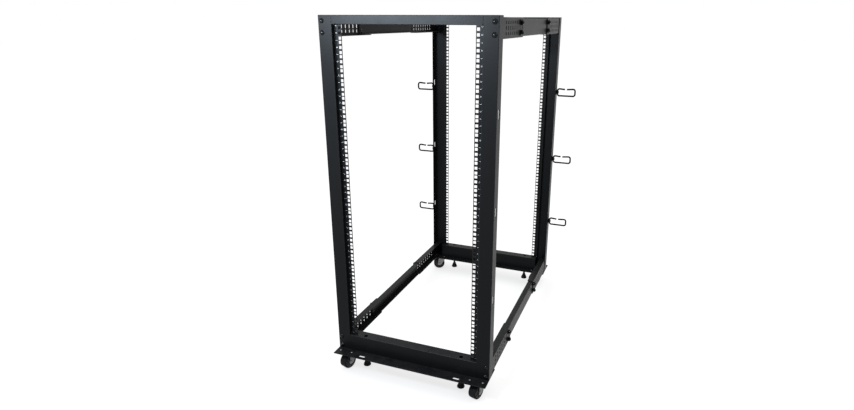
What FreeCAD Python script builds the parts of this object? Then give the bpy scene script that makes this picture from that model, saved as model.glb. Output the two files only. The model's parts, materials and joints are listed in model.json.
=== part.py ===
"""Four post open frame rack on casters: 25 rack units, adjustable depth.

Millimetres, +Z up, floor at Z = 0, origin at the centre of the footprint. The front
faces -Y. The rear frame is the front frame mirrored in Y, and the left side is the
right side mirrored in X. Small round forms that repeat have flats in place of the
round, to keep the model light, and each pin that something turns on is truly round.
"""
import FreeCAD, Part
import math
import os

V = FreeCAD.Vector

# Rack units and mounting pattern
RACK_UNITS = 25
HOLE_PITCH = 15.875
HOLE_END = 6.35
HOLE_SIZE = 9.5
HOLE_INSET = 7.05
RACK_OPENING = 451.0

# Overall frame
MOUNTING_DEPTH = 960.0
SHEET = 2.0
BEND_EASE = 1.2
FIT = 0.3
OVERCUT = 1.0

# Posts: a mounting flange, a step, a face and an outer wall
POST_FLANGE = 26.0
POST_FACE_WIDTH = 48.5
POST_STEP = 15.0
POST_WALL_DEPTH = 42.0

# Bars across the front and rear
BASE_BAR_HEIGHT = 62.0
BASE_BAR_FLANGE = 41.0
TOP_BAR_HEIGHT = 28.0
TOP_BAR_FLANGE = 41.0
RACK_SPACE_BELOW = 5.1
RACK_SPACE_ABOVE = 4.65
TAB_OVERLAP = 14.0
TAB_MARGIN = 5.0
TAB_INSET = 2.0

# Base plates under the posts
PLATE = 3.0
PLATE_FRONT_REACH = 44.0
PLATE_REAR_REACH = 59.0
ANCHOR_SPACING = 374.0
ANCHOR_INSET = 16.0
ANCHOR_SLOT_LENGTH = 24.0
ANCHOR_SLOT_WIDTH = 9.0

# Casters
CASTER_EDGE_MARGIN = 9.0
CASTER_PLATE_WIDTH = 63.0
CASTER_PLATE_LENGTH = 80.0
CASTER_PLATE = 2.5
CASTER_PLATE_EASE = 5.0
RACE_HEIGHT = 7.2
RACE_RADIUS = 20.0
RACE_LIP = 3.0
RACE_SIDES = 12
CROWN = 3.0
CROWN_LENGTH = 42.0
CROWN_EASE = 9.0
CROWN_CLEARANCE = 5.0
KINGPIN_RADIUS = 4.0
WHEEL_RADIUS = 28.5
WHEEL_WIDTH = 30.0
WHEEL_SHOULDER = 5.0
WHEEL_SIDES = 20
WHEEL_DISH = 5.0
WHEEL_RIM = 7.0
WHEEL_HUB_RADIUS = 8.0
WHEEL_SIDE_GAP = 1.5
TRAIL = 18.0
AXLE_RADIUS = 3.0
AXLE_HEAD = 2.0
AXLE_HEAD_RADIUS = 6.0
AXLE_HEAD_SIDES = 6
FORK_SHEET = 2.5
FORK_TOE_RADIUS = 9.0
FORK_TOP_WIDTH = 38.0
RUNNING_FIT = 0.1

# Levelling feet
FOOT_SWING_GAP = 5.5
FOOT_GROUND_GAP = 15.0
FOOT_PAD_RADIUS = 14.0
FOOT_PAD_EDGE = 5.0
FOOT_PAD_CHAMFER = 1.7
FOOT_PAD_CONE = 14.0
FOOT_NECK_RADIUS = 7.0
FOOT_STEM_RADIUS = 5.0
FOOT_STEM_ABOVE = 35.0
FOOT_HOLE_CLEARANCE = 0.5
FOOT_ACCESS_RADIUS = 7.0
PIN_SIDES = 12

# Side rails: two slotted brackets and a middle rail that nests in them
RAIL_HEIGHT = 62.0
RAIL_FLANGE = 27.5
RAIL_SHEET = 2.5
RAIL_BELOW_TOP = 5.0
RAIL_TAB = 2.5
SLOT_COLUMNS = 9
SLOT_PITCH = 25.4
SLOT_FIRST = 68.0
SLOT_END_MARGIN = 8.8
SLOT_ROW_PITCH = 16.0
SLOT_WIDTH = 7.0
SLOT_HEIGHT = 9.0
SLOT_HEIGHT_MIDDLE = 12.0
FRONT_BOLT_COLUMN = 7
REAR_BOLT_COLUMN = 8
MIDDLE_RAIL_END = 12.0
MIDDLE_RAIL_FLANGE = 22.0

# Cable hooks on the rear posts, and the slots that take them
HOOK_PITCH_UNITS = 7
HOOK_TOP_DROP = 283.5
HOOK_COUNT = 3
HOOK_LENGTH = 88.0
HOOK_HEIGHT = 39.5
HOOK_WIRE_RADIUS = 2.75
HOOK_WIRE_SIDES = 6
HOOK_CORNER = 5.5
HOOK_GAP = 9.0
HOOK_GAP_OUT = 43.0
HOOK_DIP = 3.0
HOOK_PLATE = 2.0
HOOK_PLATE_WIDTH = 26.0
HOOK_PLATE_HEIGHT = 16.0
HOOK_SADDLE_HEIGHT = 10.0
HOOK_SADDLE_WALL = 2.0
SIDE_SLOT_LENGTH = 33.0
SIDE_SLOT_WIDTH = 9.0
SIDE_SLOT_FRONT_DROP = 245.0

# Levels that follow from the sizes above
CROWN_BOTTOM = 2 * WHEEL_RADIUS + CROWN_CLEARANCE
RACE_BOTTOM = CROWN_BOTTOM + CROWN + FIT
PLATE_BOTTOM = RACE_BOTTOM + RACE_HEIGHT + CASTER_PLATE
BASE = PLATE_BOTTOM + PLATE
BASE_BAR_TOP = BASE + BASE_BAR_HEIGHT
RACK_BOTTOM = BASE_BAR_TOP + RACK_SPACE_BELOW
UNIT = 2 * (HOLE_END + HOLE_PITCH)
RACK_TOP = RACK_BOTTOM + RACK_UNITS * UNIT
TOP_BAR_BOTTOM = RACK_TOP + RACK_SPACE_ABOVE
TOP = TOP_BAR_BOTTOM + TOP_BAR_HEIGHT
TOP_HOLE = RACK_TOP - HOLE_END

# Places that follow from the sizes above
FLANGE_X = RACK_OPENING / 2
STEP_X = FLANGE_X + POST_FLANGE
HALF_WIDTH = STEP_X + POST_FACE_WIDTH
FRONT_PLANE = -MOUNTING_DEPTH / 2
FACE_Y = FRONT_PLANE - POST_STEP
WALL_END_Y = FACE_Y + POST_WALL_DEPTH
TAB_Y = FACE_Y + SHEET
RAIL_OUTER_X = HALF_WIDTH - SHEET - FIT
RAIL_TAB_Y = TAB_Y + SHEET + FIT
CASTER_X = HALF_WIDTH - CASTER_EDGE_MARGIN - CASTER_PLATE_WIDTH / 2
CASTER_Y = FRONT_PLANE
WHEEL_CORNER = WHEEL_RADIUS / math.cos(math.pi / WHEEL_SIDES)
CASTER_SWING = math.hypot(TRAIL + WHEEL_CORNER, WHEEL_WIDTH / 2)
FOOT_X = CASTER_X - CASTER_SWING - FOOT_SWING_GAP - FOOT_PAD_RADIUS

os.makedirs("parts", exist_ok=True)


def save(name, shape):
    """Write one piece, after a check that it is sound."""
    if not shape.isValid() or shape.Volume <= 0:
        raise ValueError(f"{name} is not a sound solid")
    shape.exportStep(f"parts/{name}.step")


def box(x0, x1, y0, y1, z0, z1):
    """A box between two corners."""
    return Part.makeBox(x1 - x0, y1 - y0, z1 - z0, V(x0, y0, z0))


def mirror_x(shape):
    """The same piece on the other side of the rack."""
    return shape.mirror(V(0, 0, 0), V(1, 0, 0))


def mirror_y(shape):
    """The same piece in the rear frame."""
    return shape.mirror(V(0, 0, 0), V(0, 1, 0))


def one(shape):
    """The single solid of a fused or cut shape, with its split faces joined."""
    clean = shape.removeSplitter()
    if len(clean.Solids) != 1:
        raise ValueError(f"expected one solid and got {len(clean.Solids)}")
    return clean.Solids[0]


def cut_corner(before, corner, after, reach):
    """A corner point, or where reach is more than none, the two points that cut it off."""
    if reach == 0:
        return [corner]
    return [corner + (side - corner).normalize() * reach for side in (before, after)]


def eased(points, reaches):
    """An open line with each of its inner corners cut off by its own reach."""
    line = [points[0]]
    for before, corner, after, reach in zip(points, points[1:], points[2:], reaches):
        line += cut_corner(before, corner, after, reach)
    return line + [points[-1]]


def eased_face(corners, reaches):
    """A flat face round the given corners, each cut off by its own reach."""
    loop = []
    for i, corner in enumerate(corners):
        after = corners[(i + 1) % len(corners)]
        loop += cut_corner(corners[i - 1], corner, after, reaches[i])
    return Part.Face(Part.makePolygon(loop + [loop[0]]))


def bent_sheet(outline, thickness, run):
    """A folded sheet: an outline on one face, its thickness on the left, swept by run."""
    normal = run * (1 / run.Length)
    lines = [(b - a).normalize() for a, b in zip(outline, outline[1:])]
    sides = [normal.cross(line) * thickness for line in lines]
    offset = [outline[0] + sides[0]]
    ease_face = []
    ease_back = []
    for i in range(1, len(outline) - 1):
        turn = normal.dot(lines[i - 1].cross(lines[i]))
        offset.append(outline[i] + sides[i - 1] + sides[i])
        ease_face.append(BEND_EASE if turn > 0 else 0)
        ease_back.append(0 if turn > 0 else BEND_EASE)
    offset.append(outline[-1] + sides[-1])
    loop = eased(outline, ease_face) + eased(offset[::-1], ease_back[::-1])
    return Part.Face(Part.makePolygon(loop + [loop[0]])).extrude(run)


def ring(radius, sides, height):
    """Corners of a regular outline about Z, its flats at the radius and square to X and Y."""
    corner = radius / math.cos(math.pi / sides)
    turns = [2 * math.pi * (i + 0.5) / sides for i in range(sides)]
    return [V(corner * math.sin(t), corner * math.cos(t), height) for t in turns]


def skinned(rings):
    """A solid with flat faces between like rings of corners, closed at both ends."""
    outlines = [rings[0], rings[-1]]
    for low, high in zip(rings, rings[1:]):
        outlines += [[low[i - 1], low[i], high[i], high[i - 1]] for i in range(len(low))]
    faces = [Part.Face(Part.makePolygon(corners + [corners[0]])) for corners in outlines]
    solid = Part.Solid(Part.makeShell(faces))
    return one(solid if solid.Volume > 0 else solid.reversed())


def flat_sided(sides, stations):
    """A turned form with flats, through (height, radius) stations from the bottom up."""
    return skinned([ring(radius, sides, height) for height, radius in stations])


def bent_wire(points, across, radius, sides):
    """A wire with flats along a line square to the direction across, mitred at its bends."""
    lines = [(b - a).normalize() for a, b in zip(points, points[1:])]
    corner = radius / math.cos(math.pi / sides)
    turns = [2 * math.pi * i / sides for i in range(sides)]
    rings = []
    for point, before, after in zip(points, lines[:1] + lines, lines + lines[-1:]):
        heading = (before + after).normalize()
        mitre = heading.cross(across) * (1 / heading.dot(after))
        rings.append([point + (across * math.cos(t) + mitre * math.sin(t)) * corner for t in turns])
    return skinned(rings)


def obround(centre, length, width, depth):
    """A cutter for a slot along X with round ends, centred."""
    r = width / 2
    flat = length / 2 - r
    corners = [V(-flat, r, 0), V(-flat, -r, 0), V(flat, -r, 0), V(flat, r, 0)]
    edges = [
        Part.Arc(corners[0], V(-flat - r, 0, 0), corners[1]).toShape(),
        Part.LineSegment(corners[1], corners[2]).toShape(),
        Part.Arc(corners[2], V(flat + r, 0, 0), corners[3]).toShape(),
        Part.LineSegment(corners[3], corners[0]).toShape(),
    ]
    face = Part.Face(Part.Wire(edges))
    face.translate(centre - V(0, 0, depth / 2))
    return face.extrude(V(0, 0, depth))


def hole_heights():
    """Heights of the square holes, three to a rack unit."""
    steps = [HOLE_END + i * HOLE_PITCH for i in range(3)]
    return [RACK_BOTTOM + unit * UNIT + step for unit in range(RACK_UNITS) for step in steps]


def side_slot_heights(first):
    """Heights of the slots in a post's outer wall."""
    return [TOP_HOLE - first - i * HOOK_PITCH_UNITS * UNIT for i in range(HOOK_COUNT)]


def hook_heights():
    """Heights of the cable hooks' middles."""
    return side_slot_heights(HOOK_TOP_DROP)


def side_slot(height):
    """Cutter for an upright slot in the outer wall, its ends eased to a round."""
    y = (FACE_Y + WALL_END_Y) / 2
    half_width = SIDE_SLOT_WIDTH / 2
    half_length = SIDE_SLOT_LENGTH / 2
    x = HALF_WIDTH - SHEET - OVERCUT
    corners = [
        V(x, y + sy * half_width, height + sz * half_length)
        for sy, sz in ((1, -1), (1, 1), (-1, 1), (-1, -1))
    ]
    octagon_side = math.tan(math.pi / 8)
    reach = half_width * (1 - octagon_side)
    return eased_face(corners, [reach] * 4).extrude(V(SHEET + 2 * OVERCUT, 0, 0))


def post(slot_drop):
    """The front right post: mounting flange, step, face and outer wall."""
    section = [
        V(FLANGE_X, FRONT_PLANE, 0),
        V(STEP_X, FRONT_PLANE, 0),
        V(STEP_X, FACE_Y, 0),
        V(HALF_WIDTH, FACE_Y, 0),
        V(HALF_WIDTH, WALL_END_Y, 0),
    ]
    low = BASE_BAR_TOP + FIT
    high = TOP_BAR_BOTTOM - FIT
    body = bent_sheet(section, SHEET, V(0, 0, high - low))
    body.translate(V(0, 0, low))
    corner = section[2:]
    ends = []
    for z0, z1 in ((BASE, low), (high, TOP)):
        end = bent_sheet(corner, SHEET, V(0, 0, z1 - z0))
        end.translate(V(0, 0, z0))
        ends.append(end)
    half = HOLE_SIZE / 2
    column = FLANGE_X + HOLE_INSET
    cutters = [
        box(
            column - half, column + half,
            FRONT_PLANE - OVERCUT, FRONT_PLANE + SHEET + OVERCUT,
            z - half, z + half,
        )
        for z in hole_heights()
    ]
    cutters += [side_slot(z) for z in side_slot_heights(slot_drop)]
    return one(body.fuse(ends).cut(Part.makeCompound(cutters)))


def cross_bar(bottom, height, outline):
    """A front channel between the posts, with a tab behind each post's face."""
    end = STEP_X - FIT
    section = [V(-end, FACE_Y + back, bottom + up) for back, up in outline]
    body = bent_sheet(section, SHEET, V(2 * end, 0, 0))
    tab = box(
        end - TAB_OVERLAP, RAIL_OUTER_X - TAB_INSET,
        TAB_Y, TAB_Y + SHEET,
        bottom + TAB_MARGIN, bottom + height - TAB_MARGIN,
    )
    return one(body.fuse([tab, mirror_x(tab)]))


def base_bar():
    """The front base channel, open downwards, with an access hole over each foot."""
    deep = BASE_BAR_FLANGE
    high = BASE_BAR_HEIGHT
    bar = cross_bar(BASE, high, [(deep, 0), (deep, high), (0, high), (0, 0)])
    access = foot_cutters(FOOT_ACCESS_RADIUS, BASE_BAR_TOP - SHEET, BASE_BAR_TOP)
    return one(bar.cut(Part.makeCompound(access)))


def top_bar():
    """The front top channel, open towards the rear."""
    deep = TOP_BAR_FLANGE
    high = TOP_BAR_HEIGHT
    return cross_bar(TOP_BAR_BOTTOM, high, [(deep, high), (0, high), (0, 0), (deep, 0)])


def foot_centres():
    """The levelling feet of the front frame, left then right."""
    return [V(-FOOT_X, FRONT_PLANE, 0), V(FOOT_X, FRONT_PLANE, 0)]


def foot_cutters(radius, low, high):
    """Cutters through a sheet on the feet's axes."""
    cutter = flat_sided(PIN_SIDES, [(low - OVERCUT, radius), (high + OVERCUT, radius)])
    return [cutter.translated(centre) for centre in foot_centres()]


def stem_cutters():
    """Cutters for the feet's stems in the base plate."""
    return foot_cutters(FOOT_STEM_RADIUS + FOOT_HOLE_CLEARANCE, PLATE_BOTTOM, BASE)


def base_plate():
    """The front base plate, with its anchor slots and the holes for the feet."""
    front = FACE_Y - PLATE_FRONT_REACH
    rear = FRONT_PLANE + PLATE_REAR_REACH
    plate = box(-HALF_WIDTH, HALF_WIDTH, front, rear, PLATE_BOTTOM, BASE)
    depth = PLATE + 2 * OVERCUT
    slots = [
        obround(
            V(x, front + ANCHOR_INSET, BASE - PLATE / 2),
            ANCHOR_SLOT_LENGTH, ANCHOR_SLOT_WIDTH, depth,
        )
        for x in (-ANCHOR_SPACING / 2, ANCHOR_SPACING / 2)
    ]
    return one(plate.cut(Part.makeCompound(stem_cutters() + slots)))


def rail_levels():
    """Bottom of the lower and the upper side rails."""
    return {"bottom": BASE + FIT, "top": TOP - RAIL_BELOW_TOP - RAIL_HEIGHT}


def slot_column(column):
    """Place of a slot column behind the front plane."""
    return FRONT_PLANE + SLOT_FIRST + column * SLOT_PITCH


def bracket(bottom):
    """A slotted side bracket of the front right post, with its end tab."""
    outer = RAIL_OUTER_X
    inner = outer - RAIL_FLANGE
    top = bottom + RAIL_HEIGHT
    start = RAIL_TAB_Y
    end = slot_column(SLOT_COLUMNS - 1) + SLOT_END_MARGIN
    section = [V(inner, 0, top), V(outer, 0, top), V(outer, 0, bottom), V(inner, 0, bottom)]
    body = bent_sheet(section, RAIL_SHEET, V(0, end - start, 0))
    body.translate(V(0, start, 0))
    tab = box(
        inner, outer - RAIL_SHEET / 2,
        start, start + RAIL_TAB,
        bottom + RAIL_SHEET / 2, top - RAIL_SHEET / 2,
    )
    middle = bottom + RAIL_HEIGHT / 2
    cutters = []
    for column in range(SLOT_COLUMNS):
        y = slot_column(column)
        for row in (-1, 0, 1):
            height = SLOT_HEIGHT_MIDDLE if row == 0 else SLOT_HEIGHT
            z = middle + row * SLOT_ROW_PITCH
            cutters.append(box(
                outer - RAIL_SHEET - OVERCUT, outer + OVERCUT,
                y - SLOT_WIDTH / 2, y + SLOT_WIDTH / 2,
                z - height / 2, z + height / 2,
            ))
    return one(body.fuse(tab).cut(Part.makeCompound(cutters)))


def middle_rail(bottom):
    """The middle rail of the right side, nested in its two brackets."""
    outer = RAIL_OUTER_X - RAIL_SHEET - FIT
    low = bottom + RAIL_SHEET + FIT
    high = bottom + RAIL_HEIGHT - RAIL_SHEET - FIT
    inner = outer - MIDDLE_RAIL_FLANGE
    start = slot_column(FRONT_BOLT_COLUMN) - MIDDLE_RAIL_END
    end = -slot_column(REAR_BOLT_COLUMN) + MIDDLE_RAIL_END
    section = [V(inner, 0, high), V(outer, 0, high), V(outer, 0, low), V(inner, 0, low)]
    body = bent_sheet(section, RAIL_SHEET, V(0, end - start, 0))
    body.translate(V(0, start, 0))
    return body


def hook(height):
    """A cable hook on the rear right post: a bent wire loop on a saddle plate."""
    y = -(FACE_Y + WALL_END_Y) / 2
    r = HOOK_WIRE_RADIUS
    base_x = HALF_WIDTH + FIT
    near = base_x + HOOK_PLATE + r
    far = HALF_WIDTH + HOOK_LENGTH - r
    rise = HOOK_HEIGHT / 2 - r
    gap = HALF_WIDTH + HOOK_GAP_OUT
    points = [
        V(gap - HOOK_GAP / 2, y, height + rise - HOOK_DIP),
        V(near, y, height + rise),
        V(near, y, height - rise),
        V(far, y, height - rise),
        V(far, y, height + rise),
        V(gap + HOOK_GAP / 2, y, height + rise - HOOK_DIP),
    ]
    loop = bent_wire(eased(points, [HOOK_CORNER] * 4), V(0, 1, 0), r, HOOK_WIRE_SIDES)
    plate = box(
        base_x, base_x + HOOK_PLATE,
        y - HOOK_PLATE_WIDTH / 2, y + HOOK_PLATE_WIDTH / 2,
        height - HOOK_PLATE_HEIGHT / 2, height + HOOK_PLATE_HEIGHT / 2,
    )
    reach = r + HOOK_SADDLE_WALL
    low = height - HOOK_SADDLE_HEIGHT / 2
    corners = [V(base_x, y - reach, low), V(near + reach, y - reach, low)]
    corners += [V(near + reach, y + reach, low), V(base_x, y + reach, low)]
    saddle = eased_face(corners, [0, reach / 2, reach / 2, 0]).extrude(V(0, 0, HOOK_SADDLE_HEIGHT))
    return one(loop.fuse([plate, saddle]))


def foot():
    """A levelling foot about Z: a bell pad on a threaded stem."""
    low = FOOT_GROUND_GAP
    neck = low + FOOT_PAD_EDGE + FOOT_PAD_CONE
    return flat_sided(PIN_SIDES, [
        (low, FOOT_PAD_RADIUS - FOOT_PAD_CHAMFER),
        (low + FOOT_PAD_CHAMFER, FOOT_PAD_RADIUS),
        (low + FOOT_PAD_EDGE, FOOT_PAD_RADIUS),
        (neck, FOOT_NECK_RADIUS),
        (neck, FOOT_STEM_RADIUS),
        (BASE + FOOT_STEM_ABOVE, FOOT_STEM_RADIUS),
    ])


def caster_plate():
    """A caster's top plate about Z, with the fixed half of its swivel race."""
    half_x = CASTER_PLATE_WIDTH / 2
    half_y = CASTER_PLATE_LENGTH / 2
    under = PLATE_BOTTOM - CASTER_PLATE
    corners = [V(sx * half_x, sy * half_y, under) for sx, sy in ((1, 1), (-1, 1), (-1, -1), (1, -1))]
    plate = eased_face(corners, [CASTER_PLATE_EASE] * 4).extrude(V(0, 0, CASTER_PLATE))
    race = flat_sided(RACE_SIDES, [
        (RACE_BOTTOM, RACE_RADIUS - RACE_LIP),
        (RACE_BOTTOM + RACE_LIP, RACE_RADIUS),
        (under, RACE_RADIUS),
    ])
    bore = KINGPIN_RADIUS + RUNNING_FIT
    bore = flat_sided(PIN_SIDES, [(RACE_BOTTOM - OVERCUT, bore), (PLATE_BOTTOM + OVERCUT, bore)])
    return one(plate.fuse(race).cut(bore))


def fork():
    """A caster fork with its axle and kingpin, swivel axis on Z, trailing along -Y."""
    inner = WHEEL_WIDTH / 2 + WHEEL_SIDE_GAP
    outer = inner + FORK_SHEET
    half = CROWN_LENGTH / 2
    corners = [V(sx * outer, sy * half, CROWN_BOTTOM) for sx, sy in ((1, 1), (-1, 1), (-1, -1), (1, -1))]
    crown = eased_face(corners, [CROWN_EASE] * 4).extrude(V(0, 0, CROWN))
    top = CROWN_BOTTOM + CROWN
    toe = WHEEL_RADIUS - FORK_TOE_RADIUS
    leg = eased_face(
        [
            V(inner, FORK_TOP_WIDTH / 2, top),
            V(inner, -FORK_TOP_WIDTH / 2, top),
            V(inner, -TRAIL - FORK_TOE_RADIUS, toe),
            V(inner, -TRAIL + FORK_TOE_RADIUS, toe),
        ],
        [0, 0, FORK_TOE_RADIUS / 2, FORK_TOE_RADIUS / 2],
    ).extrude(V(FORK_SHEET, 0, 0))
    kingpin_top = PLATE_BOTTOM - CASTER_PLATE / 2
    kingpin = Part.makeCylinder(KINGPIN_RADIUS, kingpin_top - CROWN_BOTTOM, V(0, 0, CROWN_BOTTOM))
    axle = Part.makeCylinder(AXLE_RADIUS, 2 * inner, V(-inner, -TRAIL, WHEEL_RADIUS), V(1, 0, 0))
    head = flat_sided(AXLE_HEAD_SIDES, [(outer, AXLE_HEAD_RADIUS), (outer + AXLE_HEAD, AXLE_HEAD_RADIUS)])
    head.rotate(V(0, 0, 0), V(0, 1, 0), 90)
    head.translate(V(0, -TRAIL, WHEEL_RADIUS))
    return one(crown.fuse([kingpin, leg, mirror_x(leg), axle, head, mirror_x(head)]))


def wheel():
    """A caster wheel about its axle: tyre, dished sides and hub, as the fork carries it."""
    half = WHEEL_WIDTH / 2
    hub = half + WHEEL_SIDE_GAP - FIT
    rim = WHEEL_RADIUS - WHEEL_RIM
    edge = WHEEL_RADIUS - WHEEL_SHOULDER
    shoulder = half - WHEEL_SHOULDER
    floor = half - WHEEL_DISH
    tyre = flat_sided(WHEEL_SIDES, [
        (-half, edge), (-shoulder, WHEEL_RADIUS), (shoulder, WHEEL_RADIUS), (half, edge),
    ])
    dish = flat_sided(PIN_SIDES, [(floor, rim), (half + OVERCUT, rim)])
    below = dish.translated(V(0, 0, -half - OVERCUT - floor))
    boss = flat_sided(PIN_SIDES, [(-hub, WHEEL_HUB_RADIUS), (hub, WHEEL_HUB_RADIUS)])
    bore = AXLE_RADIUS + RUNNING_FIT
    bore = flat_sided(PIN_SIDES, [(-hub - OVERCUT, bore), (hub + OVERCUT, bore)])
    turned = one(tyre.cut(dish).cut(below).fuse(boss).cut(bore))
    turned.rotate(V(0, 0, 0), V(0, 1, 0), 90)
    turned.translate(V(0, -TRAIL, WHEEL_RADIUS))
    return turned


# How far each caster is turned, in degrees about Z from trailing towards the front
CASTER_TURN = {"front_left": -17.0, "front_right": -17.0, "rear_left": -68.0, "rear_right": -35.0}

FRAMES = {"front": lambda shape: shape, "rear": mirror_y}
SIDES = {"right": lambda shape: shape, "left": mirror_x}


def build_frames():
    """Posts, bars and base plates of the front and the rear frame."""
    slot_drops = {"front": SIDE_SLOT_FRONT_DROP, "rear": HOOK_TOP_DROP - SIDE_SLOT_LENGTH / 2}
    for end, place in FRAMES.items():
        upright = post(slot_drops[end])
        for side, hand in SIDES.items():
            save(f"{end}_{side}_post", hand(place(upright)))
        save(f"{end}_top_bar", place(top_bar()))
        save(f"{end}_base_bar", place(base_bar()))
        save(f"{end}_base_plate", place(base_plate()))


def build_rails():
    """Brackets and middle rails of both sides, at the bottom and the top."""
    for level, bottom in rail_levels().items():
        for side, hand in SIDES.items():
            for end, place in FRAMES.items():
                save(f"{side}_{level}_{end}_bracket", hand(place(bracket(bottom))))
            save(f"{side}_{level}_middle_rail", hand(middle_rail(bottom)))


def build_hooks():
    """Cable hooks on the rear posts, from the top down."""
    for number, height in enumerate(hook_heights(), 1):
        for side, hand in SIDES.items():
            save(f"{side}_cable_hook_{number}", hand(hook(height)))


def build_feet():
    """Levelling feet of both frames."""
    for end, place in FRAMES.items():
        for side, centre in zip(("left", "right"), foot_centres()):
            save(f"{end}_{side}_levelling_foot", place(foot().translated(centre)))


def build_casters():
    """Caster plates, forks and wheels at the four corners."""
    for corner, turn in CASTER_TURN.items():
        end, side = corner.split("_")
        x = CASTER_X if side == "right" else -CASTER_X
        y = CASTER_Y if end == "front" else -CASTER_Y
        save(f"{corner}_caster_plate", caster_plate().translated(V(x, y, 0)))
        for name, piece in (("fork", fork()), ("wheel", wheel())):
            piece.rotate(V(0, 0, 0), V(0, 0, 1), turn)
            piece.translate(V(x, y, 0))
            save(f"{corner}_caster_{name}", piece)


build_frames()
build_rails()
build_hooks()
build_feet()
build_casters()
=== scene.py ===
"""Looks of a four post open frame rack on casters.

The sheet work, fasteners, unit marks, cable hooks, levelling feet and casters are
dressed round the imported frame. Everything is in metres, and the small sizes are
written as millimetres times MM. The front of the rack faces -Y.
"""

import json
import logging
import math
from collections.abc import Sequence
from dataclasses import dataclass
from enum import Enum

import bmesh
import bpy
from mathutils import Matrix, Vector


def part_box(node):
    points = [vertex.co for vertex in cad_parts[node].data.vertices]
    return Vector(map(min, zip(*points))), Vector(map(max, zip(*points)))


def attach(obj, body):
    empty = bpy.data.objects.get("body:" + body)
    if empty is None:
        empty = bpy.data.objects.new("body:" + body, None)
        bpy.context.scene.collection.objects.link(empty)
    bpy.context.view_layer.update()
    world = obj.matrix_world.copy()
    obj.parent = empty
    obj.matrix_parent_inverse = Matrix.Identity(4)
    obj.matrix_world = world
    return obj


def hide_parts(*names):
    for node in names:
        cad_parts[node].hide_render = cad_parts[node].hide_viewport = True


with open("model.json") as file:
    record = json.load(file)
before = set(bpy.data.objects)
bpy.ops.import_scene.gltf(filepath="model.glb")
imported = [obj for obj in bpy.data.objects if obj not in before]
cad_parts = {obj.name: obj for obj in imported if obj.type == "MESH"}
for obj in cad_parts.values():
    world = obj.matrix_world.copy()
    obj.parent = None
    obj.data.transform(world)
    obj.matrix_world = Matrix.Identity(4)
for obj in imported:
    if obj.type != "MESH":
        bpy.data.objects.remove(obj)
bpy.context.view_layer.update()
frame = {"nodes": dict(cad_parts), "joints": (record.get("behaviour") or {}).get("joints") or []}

logging.basicConfig(level=logging.INFO, format="%(name)s: %(message)s")
log = logging.getLogger("rack")

Colour = tuple[float, float, float]
Pair = tuple[float, float]
MM = 0.001
FRAME_BODY = "frame"
EDGE_BAND = "edge_band"

# Points closer than this are one point.
WELD = 0.002 * MM
# Faces that turn less than this are one flat, edges that turn more than SHARP get a round,
# and shading breaks at CREASE.
FLAT = math.radians(1)
SHARP = math.radians(28)
CREASE = math.radians(50)

# The rack units, from the base bar's top up, and the step from a post's face back to its
# mounting flange.
UNITS = 25
UNIT = 44.45 * MM
ABOVE_BAR = 5.1 * MM
FACE_STEP = 15.0 * MM


class End(Enum):
    """The two upright frames of the rack, with their direction outwards along Y."""

    FRONT = "front"
    REAR = "rear"

    @property
    def sign(self) -> int:
        """Direction outwards along Y."""
        return -1 if self is End.FRONT else 1


class Side(Enum):
    """The two sides of the rack, as seen from the front."""

    LEFT = "left"
    RIGHT = "right"

    @property
    def sign(self) -> int:
        """Direction outwards along X."""
        return -1 if self is Side.LEFT else 1


class Level(Enum):
    """The two heights that have side rails."""

    BOTTOM = "bottom"
    TOP = "top"


class Slot(Enum):
    """The record's material slots."""

    POWDER_COAT = "powder_coat"
    HOOK_COAT = "hook_coat"
    ZINC = "zinc_steel"
    TYRE = "wheel_rubber"
    FOOT = "foot_black"


def corner_matrix(end: End, side: Side) -> Matrix:
    """Mirrors what is made for the front right corner to any corner."""
    return Matrix.Diagonal((side.sign, -end.sign, 1, 1))


def outward(direction: Vector) -> Matrix:
    """Turns what is made along +Z so that it points along a direction."""
    return direction.to_track_quat("Z", "Y").to_matrix().to_4x4()


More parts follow.
